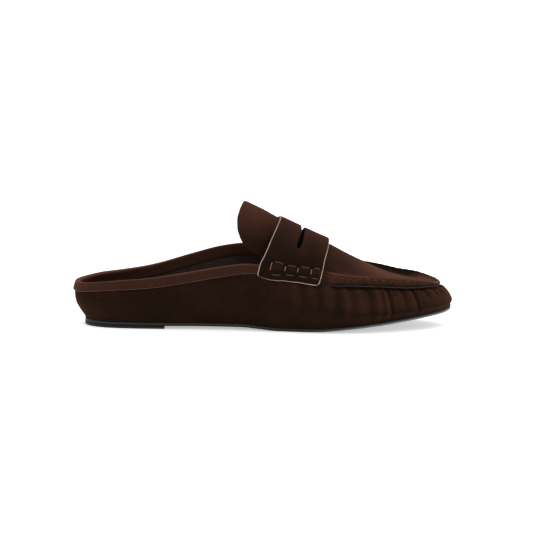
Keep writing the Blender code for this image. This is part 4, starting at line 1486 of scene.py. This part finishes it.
        # Painted light: the lip's face and a highlight line on the crest are lighter, puffs get a painted
        # highlight, the plug's top a broad painted highlight, and the far half beside its ridge painted
        # shade.
        free = smooth(placed(0.655), placed(0.68), grid[..., 0])
        lip = self.lip_painted_light * (smooth(1.0, 4.0, columns) * (1 - smooth(12.0, 16.0, columns)))[None, :]
        crest = self.crest_highlight * np.exp(-(((columns - self.crest_column) / 2.0) ** 2))[None, :]
        tone_and_painted_light = (lip + crest) * free + raised / self.full_light_rise
        brushing_and_highlight = smooth(placed(0.69), placed(0.82), grid[..., 0]) * smooth(16, 30, columns)[None, :]
        slope = smooth(16.5, 20, columns) * (1 - smooth(30, 42, columns))
        far_shaded_half = smooth(0.50, 0.52, np.arange(rows) / (rows - 1))[:, None] * slope[None, :]
        far_shaded_half = far_shaded_half * (1 - smooth(placed(0.88), placed(0.93), grid[..., 0]))
        tone_and_painted_light = tone_and_painted_light + self.brushing_and_highlight * brushing_and_highlight * (1 - far_shaded_half) - self.far_painted_shade * far_shaded_half
        finishes = (SUEDE, LINING, DARK_EDGE, PAINTED_SHADOW)
        apron = thick_sheet("apron", grid, under, faces, finishes, tone_and_painted_light, 50.0, looks)
        keep(apron, "suede", "plug")
        self.face, self.out = grid, out


@dataclass
class Tongue:
    """The flap that stands up behind the strap, its sides tucked inside the collar."""

    thickness: float = 2.0 * MM
    tuck: float = 4.8 * MM
    foot: float = 5.0 * MM
    joint_rim: float = 0.5230
    joint_crown: float = 0.5846
    rows: int = 200
    steps: int = 70
    stitch_column: float = 5.5
    edge_from: float = 64.0 * MM
    edge_highlight: float = 0.9
    # The tongue gets a painted highlight near its top edge and painted shade lower down, more so towards the
    # collar.
    low_painted_shade: float = 0.75

    def build(self) -> None:
        """Makes the tongue."""
        downs = np.sin(np.linspace(-math.pi / 2, math.pi / 2, self.rows))
        front, back = [], []
        for down in downs:
            far = abs(down)
            half = "outer" if down < 0 else "inner"
            start = (float(TONGUE_EDGE.at(half, np.array(far), gentle=True)) - 0.5) * LAST.length
            end = (self.joint_rim + (self.joint_crown - self.joint_rim) * (1 - far) - 0.5) * LAST.length
            end -= 1.3 * LAST.gap
            share = np.concatenate([[0, 0.004, 0.012, 0.024], np.linspace(0.04, 1, self.steps - 4)])
            x = start + (end - start) * share
            across = np.full(len(x), down * 0.985)
            point, away = LAST.arch(x, across), LAST.arch_out(x, across)
            tucked = self.tuck * np.clip((far - 0.45) / 0.5, 0, 1) ** 1.6
            point = point - tucked * unit(away * np.array([1, 1, 0]))
            point[:, 2] -= self.foot * np.clip((far - 0.8) / 0.2, 0, 1)
            round_off = np.interp((x - start) / MM, [0, 0.25, 0.6, 1.2], [0.45, 0.18, 0.05, 0.0]) * MM
            front.append(point - round_off[:, None] * away)
            back.append(point - (self.thickness - 0.6 * round_off)[:, None] * away)
        grid = np.stack(front)
        faces = sheet_faces(*grid.shape[:2])
        near_edge = 1 - smooth(placed(0.47), placed(0.54), grid[..., 0])
        # Painted highlight along the top edge, painted shade lower down.
        tone_and_painted_light = self.edge_highlight * near_edge * smooth(0.045, 0.075, grid[..., 2])
        tone_and_painted_light -= self.low_painted_shade * (1 - smooth(0.055, 0.082, grid[..., 2]))
        high = grid.reshape(-1, 3)[:, 2] > self.edge_from

        def edge_look(start: int, end: int) -> int:
            """The cut edge shows at the top; further down the suede runs over it."""
            return 2 if high[start] and high[end] else 0

        finishes = (SUEDE, LINING, DYED_EDGE)
        tongue = thick_sheet(
            "tongue_dressed", grid, np.stack(back), faces, finishes, tone_and_painted_light, 50.0, None, edge_look
        )
        keep(tongue, "suede", "tongue")
        self.face, self.out = grid, grid_out(grid)


@dataclass
class SaddleStrap:
    """The penny strap: over the arch, down both sides, with a leaf slot and quilted stitched ends."""

    thickness: float = 1.4 * MM
    front_pad: float = 1.9 * MM
    back_corner: float = 1.0 * MM
    front_corner: float = 2.6 * MM
    hug: float = 0.85
    spread: float = 0.8 * MM
    band: float = 0.9 * MM
    slot_half: float = 1.55 * MM
    # Half width of the slot as a share of slot_half, by share of its way down from the crown.
    leaf: tuple = ((0, 0.80), (0.15, 0.70), (0.35, 0.60), (0.60, 0.80), (0.80, 1.0), (0.93, 0.9), (1, 0.7))
    slot_seam: float = 0.05 * MM
    slot_along: tuple = (0.466, 0.498)
    slot_down: float = 0.80
    tuft_edges: tuple = (0.178, 0.410, 0.612, 0.822, 0.982)
    # Lower and upper end of the tufts in millimetres above the strap's end, by share across it.
    tuft_ends: tuple = (
        (0.178, 4.6, 13.3), (0.295, 4.7, 12.7), (0.410, 5.1, 11.6), (0.51, 5.4, 11.4), (0.612, 5.5, 11.9),
        (0.71, 5.7, 12.3), (0.822, 6.1, 13.0), (0.90, 6.5, 13.6), (0.982, 6.7, 13.9),
    )
    tuft: float = 0.95 * MM
    tuft_sink: float = 0.18 * MM
    # The strap is set this much darker all over; its tufts and edges get a painted highlight.
    strap_darkening: float = 0.80
    full_light_rise: float = 1.4 * MM
    rim_highlight: float = 0.35
    rim_reach: float = 1.5 * MM

    def ground(self, x: Array, side: Side, down: float) -> Array:
        """Points outside the binding and the lip.

        Args:
            x: places along the shoe.
            side: outer or inner side.
            down: share of the way from the rim to the strap's end.

        Returns:
            Points.
        """
        middle = LAST.turn_at(0.04 * LAST.length, side)
        turns = np.linspace(middle - 0.75, middle + 0.75, 300)
        rim_x = LAST.ring_plan(Ring.RIM, turns)[0]
        _, back_end, front_end = STRAP_EDGE.rows[-1]
        share = (LAST.share(rim_x) - back_end) / (front_end - back_end)
        reach = STRAP_DEPTH * STRAP_HEM.at("depth", np.clip(share, 0, 1), gentle=True)
        depth = down * (reach - LAST.ridge_seat * LAST.seam("seat", rim_x))
        point, away, _ = LAST.wall_frame(turns, LAST.up_at_depth(turns, depth))
        hug = np.clip((down - self.hug) / (1 - self.hug), 0, 1)
        point = point + (LAST.gap + self.band) * (1 - 0.8 * hug) * away
        order = np.argsort(point[:, 0])
        return np.stack([np.interp(x, point[order, 0], point[order, k]) for k in range(3)], -1)

    def places(self) -> list[tuple[int, float, float]]:
        """Rows of the strap: side, share down the side and place across the arch."""
        ends = np.concatenate([[1.0, 0.98, 0.95, 0.92], np.linspace(0.88, 0.03, 40)])
        bend = np.sin(np.linspace(-math.pi / 2, math.pi / 2, 141))
        rows = [(-1, e, -1.0) for e in ends] + [(0, 0.0, q) for q in bend[2:-2]]
        return rows + [(1, e, 1.0) for e in ends[::-1]]

    def build(self) -> None:
        """Makes the strap."""
        rows = self.places()
        across = np.array([q for _, _, q in rows])
        down = np.array([e for _, e, _ in rows])
        far = np.abs(across)
        corner = 1 - np.sqrt(1 - np.clip((down - 0.80) / 0.20, 0, 1) ** 2)
        back_x = STRAP_EDGE.at("back", far + down, gentle=True) + self.back_corner / LAST.length * corner
        front_x = STRAP_EDGE.at("front", far + down, gentle=True) - self.front_corner / LAST.length * corner
        width = (front_x - back_x) * LAST.length
        in_slot = (far <= self.slot_down) & (down == 0)
        opened = np.clip(far / self.slot_down, 0, 1)
        blunt = np.sqrt(np.clip((self.slot_down - far) / 0.03, 0, 1))
        way, breadth = zip(*self.leaf)
        leaf = self.slot_half * through(way, breadth, opened, gentle=True) * np.clip(blunt, 0.05, 1)
        middle_line = self.slot_along[0] + (self.slot_along[1] - self.slot_along[0]) * opened
        half = np.where(in_slot, leaf, self.slot_seam)
        left = np.concatenate([[0, 0.006, 0.016, 0.03], np.linspace(0.05, 0.96, 44), [0.99]])
        lines = []
        for i in range(len(rows)):
            cut_low, cut_high = middle_line[i] - half[i] / width[i], middle_line[i] + half[i] / width[i]
            right = 1 - left[::-1] * (1 - cut_high)
            lines.append(np.concatenate([left * cut_low, [cut_low, cut_high], right]))
        lines = np.stack(lines)
        cut = len(left)
        x = (back_x[:, None] + (front_x - back_x)[:, None] * lines - 0.5) * LAST.length
        arch = np.zeros(x.shape + (3,))
        for i, (side, end, q) in enumerate(rows):
            held = np.full(x.shape[1], q)
            if side == 0:
                arch[i] = LAST.arch(x[i], held, self.spread)
                continue
            arch[i] = self.ground(x[i], Side(side), end)
            near = 1 - smooth(0.0, 0.55, end)
            if near > 0:
                base = self.ground(x[i], Side(side), 0.0)
                arch[i] += near * (LAST.arch(x[i], held, self.spread) - base)
        for _ in range(6):
            arch[1:-1] = 0.25 * arch[:-2] + 0.5 * arch[1:-1] + 0.25 * arch[2:]
        out = unit(np.cross(np.gradient(arch, axis=1), np.gradient(arch, axis=0)))
        if np.mean(out[len(rows) // 2, :, 2]) < 0:
            out = -out
        pad = self.front_pad * lines * np.clip(1 - far**2, 0, 1)[:, None]
        raised = self.quilting(arch, lines, width)
        edge_room = np.minimum(lines, 1 - lines) * width[:, None]
        ends_room = (1 - down)[:, None] * STRAP_DEPTH * STRAP_HEM.at("depth", lines, gentle=True)
        ends_room = np.where(np.array([s for s, _, _ in rows])[:, None] == 0, 1.0, ends_room)
        slot_room = np.abs(lines - middle_line[:, None]) * width[:, None] - half[:, None]
        slot_room = np.where(in_slot[:, None], slot_room, 1.0)
        room = np.minimum(np.minimum(edge_room, ends_room), slot_room)
        round_off = np.interp(room / MM, [0, 0.2, 0.5, 1.2], [0.50, 0.22, 0.06, 0.0]) * MM
        top = arch + (LAST.gap + self.thickness + pad + raised - round_off)[..., None] * out
        under = arch + LAST.gap * out
        faces = sheet_faces(*x.shape, skip=lambda i, j: j == cut and in_slot[i] and in_slot[i + 1])
        columns = x.shape[1]
        looks = []
        for f in faces:
            i, j = divmod(f[0], columns)
            at_side = j < 3 or j >= columns - 4
            at_end = i < 2 or i >= len(rows) - 3
            looks.append(2 if at_side or at_end else 0)
        # Painted highlight on the tufts and near the edges, on a strap set darker all over.
        tone_and_painted_light = raised / self.full_light_rise + self.rim_highlight * np.exp(-room / self.rim_reach) - self.strap_darkening

        def edge_look(start: int, end: int) -> int:
            """The slot's walls are painted shadow black, the outer edges show the cut."""
            return 3 if all(c % columns in (cut, cut + 1) for c in (start, end)) else 2

        finishes = (SUEDE, LINING, CUT_EDGE, PAINTED_SHADOW)
        strap = thick_sheet("penny_strap", top, under, faces, finishes, tone_and_painted_light, 50.0, looks, edge_look)
        keep(strap, "suede", "saddle_strap")
        self.face, self.out, self.lines = top, out, lines

    def tuft_span(self, share: Array) -> tuple[Array, Array]:
        """Lower and upper bound of the tufts, from the strap's lower end, by share across the strap."""
        place, low, high = zip(*self.tuft_ends)
        return MM * through(place, low, share), MM * through(place, high, share)

    def quilting(self, arch: Array, lines: Array, width: Array) -> Array:
        """Puffed rectangles between the stitched bars near both ends.

        Args:
            arch: the strap's ground.
            lines: share across the strap at each point.
            width: width of each row.

        Returns:
            Height at each point.
        """
        lengths = np.linalg.norm(np.diff(arch, axis=0), axis=-1)
        from_outer = np.concatenate([np.zeros((1, arch.shape[1])), np.cumsum(lengths, axis=0)])
        from_inner = from_outer[-1:] - from_outer
        raised = np.zeros(lines.shape)
        low, high = self.tuft_span(lines)
        for run in (from_outer, from_inner):
            up = (run - low) / (high - low)
            for start, end in zip(self.tuft_edges[:-1], self.tuft_edges[1:]):
                along = (lines - start) / (end - start)
                inside = (along > 0) & (along < 1) & (up > 0) & (up < 1)
                a, u = np.clip(along, 0, 1), np.clip(up, 0, 1)
                shape = (4 * a * (1 - a)) ** 0.5 * (4 * u * (1 - u)) ** 0.5
                raised += np.where(inside, self.tuft * shape - self.tuft_sink, 0)
        return raised


def sample(grid: Array, row: Array, column: Array) -> Array:
    """Reads a grid between its points.

    Args:
        grid: rows by columns by three.
        row: places among the rows.
        column: places among the columns.

    Returns:
        Points.
    """
    i = np.clip(np.floor(row).astype(int), 0, grid.shape[0] - 2)
    j = np.clip(np.floor(column).astype(int), 0, grid.shape[1] - 2)
    u, v = (np.asarray(row) - i)[..., None], (np.asarray(column) - j)[..., None]
    low = grid[i, j] * (1 - v) + grid[i, j + 1] * v
    high = grid[i + 1, j] * (1 - v) + grid[i + 1, j + 1] * v
    return low * (1 - u) + high * u


@dataclass
class SewingNodes:
    """Geometry Nodes that lay thread along paths on the shoe."""

    sides: int = 6
    bend: int = 5

    def sockets(self, tree: bpy.types.NodeTree, sizes: Sequence[str]) -> tuple:
        """Gives the tree its named inputs and output.

        Args:
            tree: the node tree.
            sizes: names of the number inputs.

        Returns:
            The group's input and output nodes.
        """
        tree.interface.new_socket("Paths", in_out="INPUT", socket_type="NodeSocketGeometry")
        for name in sizes:
            tree.interface.new_socket(name, in_out="INPUT", socket_type="NodeSocketFloat")
        tree.interface.new_socket("Thread", in_out="INPUT", socket_type="NodeSocketMaterial")
        tree.interface.new_socket("Sewn", in_out="OUTPUT", socket_type="NodeSocketGeometry")
        return add_node(tree, "NodeGroupInput"), add_node(tree, "NodeGroupOutput")

    def finish(self, tree: bpy.types.NodeTree, start, end, sewn) -> None:
        """Realizes the instances, sets the material and joins the output.

        Args:
            tree: the node tree.
            start: the group's input node.
            end: the group's output node.
            sewn: the socket with the thread.
        """
        real = add_node(tree, "GeometryNodeRealizeInstances", {0: sewn})
        coloured = add_node(
            tree,
            "GeometryNodeSetMaterial",
            {"Geometry": real.outputs[0], "Material": start.outputs["Thread"]},
        )
        tree.links.new(coloured.outputs[0], end.inputs[0])

    def round_thread(self, tree: bpy.types.NodeTree, curve, radius):
        """Thread of a round section along a curve.

        Args:
            tree: the node tree.
            curve: the socket with the curve.
            radius: the socket with the thread's radius.

        Returns:
            The socket with the thread.
        """
        sizes = {"Resolution": self.sides, "Radius": radius}
        ring = add_node(tree, "GeometryNodeCurvePrimitiveCircle", sizes).outputs[0]
        parts = {"Curve": curve, "Profile Curve": ring, "Fill Caps": True}
        return add_node(tree, "GeometryNodeCurveToMesh", parts).outputs[0]

    def running_stitch(self) -> bpy.types.NodeTree:
        """Short bowed stitches at an even pitch along each path."""
        tree = bpy.data.node_groups.new("running_stitch", "GeometryNodeTree")
        start, end = self.sockets(tree, ("Pitch", "Length", "Radius", "Rise", "Slant"))
        curve = add_node(tree, "GeometryNodeMeshToCurve", {0: start.outputs["Paths"]})
        spots = add_node(
            tree,
            "GeometryNodeResampleCurve",
            {"Curve": curve.outputs[0], "Length": start.outputs["Pitch"]},
            mode="LENGTH",
        )
        half = add_node(
            tree, "ShaderNodeMath", {0: start.outputs["Length"], 1: 0.5}, operation="MULTIPLY"
        )
        minus = add_node(tree, "ShaderNodeMath", {0: half.outputs[0], 1: -1.0}, operation="MULTIPLY")
        sunk = add_node(
            tree, "ShaderNodeMath", {0: start.outputs["Radius"], 1: -1.2}, operation="MULTIPLY"
        )
        ends = [
            add_node(tree, "ShaderNodeCombineXYZ", {0: x, 2: z})
            for x, z in (
                (minus.outputs[0], sunk.outputs[0]),
                (0.0, start.outputs["Rise"]),
                (half.outputs[0], sunk.outputs[0]),
            )
        ]
        bow = add_node(
            tree,
            "GeometryNodeCurveQuadraticBezier",
            {0: self.bend, 1: ends[0].outputs[0], 2: ends[1].outputs[0], 3: ends[2].outputs[0]},
        )
        stitch = self.round_thread(tree, bow.outputs[0], start.outputs["Radius"])
        normal = add_node(
            tree, "GeometryNodeInputNamedAttribute", {"Name": "normal"}, data_type="FLOAT_VECTOR"
        )
        tangent = add_node(tree, "GeometryNodeInputTangent")
        turned = add_node(
            tree,
            "FunctionNodeAxesToRotation",
            {0: normal.outputs[0], 1: tangent.outputs[0]},
            primary_axis="Z",
            secondary_axis="X",
        )
        slant = add_node(tree, "ShaderNodeCombineXYZ", {2: start.outputs["Slant"]})
        lean = add_node(tree, "FunctionNodeEulerToRotation", {0: slant.outputs[0]})
        both = add_node(
            tree,
            "FunctionNodeRotateRotation",
            {0: turned.outputs[0], 1: lean.outputs[0]},
            rotation_space="LOCAL",
        )
        placed = add_node(
            tree,
            "GeometryNodeInstanceOnPoints",
            {"Points": spots.outputs[0], "Instance": stitch, "Rotation": both.outputs[0]},
        )
        self.finish(tree, start, end, placed.outputs[0])
        return tree

    def laid_thread(self) -> bpy.types.NodeTree:
        """Thread that follows each path from end to end."""
        tree = bpy.data.node_groups.new("laid_thread", "GeometryNodeTree")
        start, end = self.sockets(tree, ("Radius",))
        curve = add_node(tree, "GeometryNodeMeshToCurve", {0: start.outputs["Paths"]})
        thread = self.round_thread(tree, curve.outputs[0], start.outputs["Radius"])
        self.finish(tree, start, end, thread)
        return tree


@dataclass
class Seam:
    """One group of sewn paths: its node tree, sizes and thread."""

    name: str
    tree: bpy.types.NodeTree
    sizes: dict
    thread: Finish
    slot: str = "suede"
    paths: list = field(default_factory=list)

    def add(self, points: Array, normals: Array) -> None:
        """Adds a path with the outward direction at each of its points."""
        self.paths.append((np.asarray(points, float), np.asarray(normals, float)))

    def sew(self) -> None:
        """Runs the nodes once and keeps the thread as a plain mesh."""
        points = np.concatenate([p for p, _ in self.paths]) - LAST_ORIGIN
        edges, start = [], 0
        for path, _ in self.paths:
            edges += [(start + i, start + i + 1) for i in range(len(path) - 1)]
            start += len(path)
        mesh = bpy.data.meshes.new(self.name + "_paths")
        mesh.from_pydata(points.tolist(), edges, [])
        normals = np.concatenate([n for _, n in self.paths]).astype(np.float32)
        mesh.attributes.new("normal", "FLOAT_VECTOR", "POINT").data.foreach_set("vector", normals.ravel())
        guide = bpy.data.objects.new(self.name + "_guide", mesh)
        bpy.context.collection.objects.link(guide)
        nodes = guide.modifiers.new("sewing", "NODES")
        nodes.node_group = self.tree
        for socket in self.tree.interface.items_tree:
            if socket.in_out == "INPUT" and socket.name in self.sizes:
                nodes[socket.identifier] = float(self.sizes[socket.name])
            if socket.in_out == "INPUT" and socket.name == "Thread":
                nodes[socket.identifier] = self.thread.material()
        bpy.context.view_layer.update()
        sewn = guide.evaluated_get(bpy.context.evaluated_depsgraph_get())
        plain = bpy.data.meshes.new_from_object(sewn)
        plain.name = self.name
        bpy.data.objects.remove(guide, do_unlink=True)
        plain.shade_smooth()
        made = bpy.data.objects.new(self.name, plain)
        bpy.context.collection.objects.link(made)
        keep(made, self.slot)


@dataclass
class Sewing:
    """All the thread on the shoe: the strap's tufted ends, the lip, the tongue's edge and the toe."""

    apron: Apron
    tongue: Tongue
    strap: SaddleStrap
    heavy: float = 0.36 * MM
    fine: float = 0.17 * MM
    hole: float = 0.42 * MM
    # How far both ends of a laid thread dip into the suede.
    end_dip: float = 0.9 * MM
    # The tip's closer stitches reach this far round from its foremost point.
    tip_reach: float = 17 * MM

    def on_strap(self, side: Side, share: Array, run: Array, lift: float) -> tuple[Array, Array]:
        """Points on the strap's face and its outward directions.

        Args:
            side: outer or inner end.
            share: places across the strap.
            run: distances from the strap's lower end.
            lift: height above the face.

        Returns:
            Points and directions.
        """
        face, out = self.strap.face, self.strap.out
        if side is Side.INNER:
            face, out = face[::-1], out[::-1]
        column = np.interp(share, self.strap.lines[0], np.arange(face.shape[1]))
        line = sample(face, np.tile(np.arange(len(face), dtype=float), (len(column), 1)), column[:, None])
        lengths = np.linalg.norm(np.diff(line, axis=1), axis=-1)
        runs = np.concatenate([np.zeros((len(column), 1)), np.cumsum(lengths, axis=1)], axis=1)
        row = np.array([np.interp(r, k, np.arange(len(face))) for r, k in zip(run, runs)])
        normal = unit(sample(out, row, column))
        return sample(face, row, column) + lift * normal, normal

    def strap_ends(self, nodes: SewingNodes) -> None:
        """Bars between the tufts, bowed rows above and below them, and the awl holes as short threads of
        painted shadow.
        """
        laid = nodes.laid_thread()
        bars = Seam("strap_bars", laid, {"Radius": self.heavy}, THREAD)
        rows = Seam("strap_rows", laid, {"Radius": self.heavy * 0.8}, ROW_THREAD)
        # The awl holes are short dark threads, painted shade inside the holes.
        holes = Seam("strap_holes", laid, {"Radius": self.hole}, PAINTED_SHADOW)
        edges = self.strap.tuft_edges
        t = np.linspace(0, 1, 14)
        bow = 4 * t * (1 - t)
        dip = (self.end_dip * (2 * t - 1) ** 6)[:, None]
        for side in Side:
            for edge in edges[:-1]:
                low, high = self.strap.tuft_span(np.array([edge]))
                run = low[0] + 2.6 * MM + (high[0] - low[0] - 3.0 * MM) * t
                points, normal = self.on_strap(side, np.full(len(t), edge), run, 0.10 * MM)
                bars.add(points - dip * normal, normal)
            for a, b in zip(edges[:-1], edges[1:]):
                share = a + (b - a) * (0.14 + 0.72 * t)
                low, high = self.strap.tuft_span(share)
                for run in (high + 0.7 * MM * bow, low - 0.25 * MM * bow):
                    points, normal = self.on_strap(side, share, run, 0.06 * MM)
                    rows.add(points - dip * normal, normal)
            for edge in edges:
                low, high = self.strap.tuft_span(np.array([edge]))
                for run in (low[0] - 0.5 * MM, high[0] + 0.6 * MM):
                    point, normal = self.on_strap(side, np.full(2, edge), np.full(2, run), 0.0)
                    spread = np.array([[-0.5], [0.12]]) * MM
                    holes.add(point + spread * normal, normal)
        for seam in (bars, rows, holes):
            seam.sew()

    def lip(self, nodes: SewingNodes) -> None:
        """Hand stitches along the lip, closer and heavier round the tip."""
        face, out = self.apron.face, self.apron.out
        column = np.full(face.shape[0], self.apron.stitch_column)
        rows = np.arange(face.shape[0], dtype=float)
        line, normal = sample(face, rows, column), unit(sample(out, rows, column))
        free = line[:, 0] > placed(self.apron.stitched_from)
        line, normal = line[free], normal[free]
        tip = np.argmax(line[:, 0])
        away = np.concatenate([[0], np.cumsum(np.linalg.norm(np.diff(line, axis=0), axis=1))])
        toe = np.abs(away - away[tip]) < self.tip_reach
        tree = nodes.running_stitch()
        side = {"Pitch": 5.6 * MM, "Length": 3.0 * MM, "Radius": self.fine, "Rise": 0.55 * MM, "Slant": 0.12}
        sides = Seam("lip_stitches", tree, side, ROW_THREAD)
        for part in (slice(0, int(np.argmax(toe))), slice(len(line) - int(np.argmax(toe[::-1])), None)):
            sides.add(line[part] + 0.05 * MM * normal[part], normal[part])
        sides.sew()
        close = {"Pitch": 2.6 * MM, "Length": 1.9 * MM, "Radius": 0.30 * MM, "Rise": 0.7 * MM, "Slant": 1.1}
        tips = Seam("toe_stitches", tree, close, THREAD)
        tips.add(line[toe] + 0.05 * MM * normal[toe], normal[toe])
        tips.sew()

    def tongue_edge(self, nodes: SewingNodes) -> None:
        """Fine slanted stitches that hold the tongue's lining along its free edge."""
        face, out = self.tongue.face, self.tongue.out
        rows = np.arange(face.shape[0], dtype=float)[8:-8]
        column = np.full(len(rows), self.tongue.stitch_column)
        line, normal = sample(face, rows, column), unit(sample(out, rows, column))
        if np.mean(normal[:, 2]) < 0:
            normal = -normal
        sizes = {"Pitch": 2.2 * MM, "Length": 1.7 * MM, "Radius": 0.12 * MM, "Rise": 0.25 * MM, "Slant": 0.9}
        seam = Seam("tongue_stitches", nodes.running_stitch(), sizes, DARK_THREAD)
        seam.add(line, normal)
        seam.sew()

    def build(self) -> None:
        """Sews everything."""
        nodes = SewingNodes()
        self.strap_ends(nodes)
        self.lip(nodes)
        self.tongue_edge(nodes)


@dataclass
class Studio:
    """Plain white floor, soft light from above and the camera at the photo's angle."""

    distance: float = 1.80
    elevation: float = 7.6
    roll: float = 0.45
    target: tuple = (0.00235, 0.0, 0.03970)
    per_pixel: float = 0.685 * MM
    frame_pixels: int = 533
    sensor: float = 36.0
    world: float = 0.85
    sun: float = 1.5
    sun_spread: float = 80.0
    glow: float = 0.45

    def floor(self) -> None:
        """Makes the floor."""
        size = 30.0
        mesh = bpy.data.meshes.new("studio_floor")
        mesh.from_pydata(
            [(-size, -size, 0), (size, -size, 0), (size, size, 0), (-size, size, 0)], [], [(0, 1, 2, 3)]
        )
        made = bpy.data.materials.new("studio_floor")
        made.use_nodes = True
        shader = made.node_tree.nodes["Principled BSDF"]
        shader.inputs["Base Color"].default_value = linear("#f4f4f4")
        shader.inputs["Roughness"].default_value = 0.9
        shader.inputs["Specular IOR Level"].default_value = 0.1
        shader.inputs["Emission Color"].default_value = (1, 1, 1, 1)
        shader.inputs["Emission Strength"].default_value = self.glow
        mesh.materials.append(made)
        floor = bpy.data.objects.new("studio_floor", mesh)
        bpy.context.collection.objects.link(floor)

    def sky(self) -> None:
        """Light from all round, and a wide soft sun above and a little behind."""
        scene = bpy.context.scene
        world = bpy.data.worlds.new("studio_air")
        world.use_nodes = True
        world.node_tree.nodes["Background"].inputs["Color"].default_value = (1, 1, 1, 1)
        world.node_tree.nodes["Background"].inputs["Strength"].default_value = self.world
        scene.world = world
        data = bpy.data.lights.new("top_softbox", "SUN")
        data.energy, data.angle = self.sun, math.radians(self.sun_spread)
        lamp = bpy.data.objects.new("top_softbox", data)
        lamp.rotation_euler = (math.radians(-12), math.radians(8), 0)
        bpy.context.collection.objects.link(lamp)

    def build(self) -> None:
        """Makes floor, lights and camera."""
        self.floor()
        self.sky()
        scene = bpy.context.scene
        scene.view_settings.view_transform = "Standard"
        scene.view_settings.look = "None"
        data = bpy.data.cameras.new("camera")
        data.sensor_width = self.sensor
        data.lens = self.sensor * self.distance / (self.per_pixel * self.frame_pixels)
        data.clip_start, data.clip_end = 0.1, 100.0
        camera = bpy.data.objects.new("camera", data)
        bpy.context.collection.objects.link(camera)
        tilt, roll = math.radians(self.elevation), math.radians(self.roll)
        back = np.array([0.0, -math.cos(tilt), math.sin(tilt)])
        camera.location = np.array(self.target) + self.distance * back
        aim = Matrix.Rotation(math.pi / 2 - tilt, 4, "X") @ Matrix.Rotation(roll, 4, "Z")
        camera.rotation_mode = "QUATERNION"
        camera.rotation_quaternion = aim.to_quaternion()
        scene.camera = camera


def main() -> None:
    """Builds the shoe piece by piece, then the studio."""
    logging.basicConfig(level=logging.INFO, format="%(name)s: %(message)s")
    apron, tongue, strap = Apron(), Tongue(), SaddleStrap()
    sewing = Sewing(apron, tongue, strap)
    for maker in (SoleUnit(), Footbed(), SideWall(), CollarBinding(), apron, tongue, strap, sewing):
        maker.build()
    Studio().build()


if __name__ == "__main__":
    main()
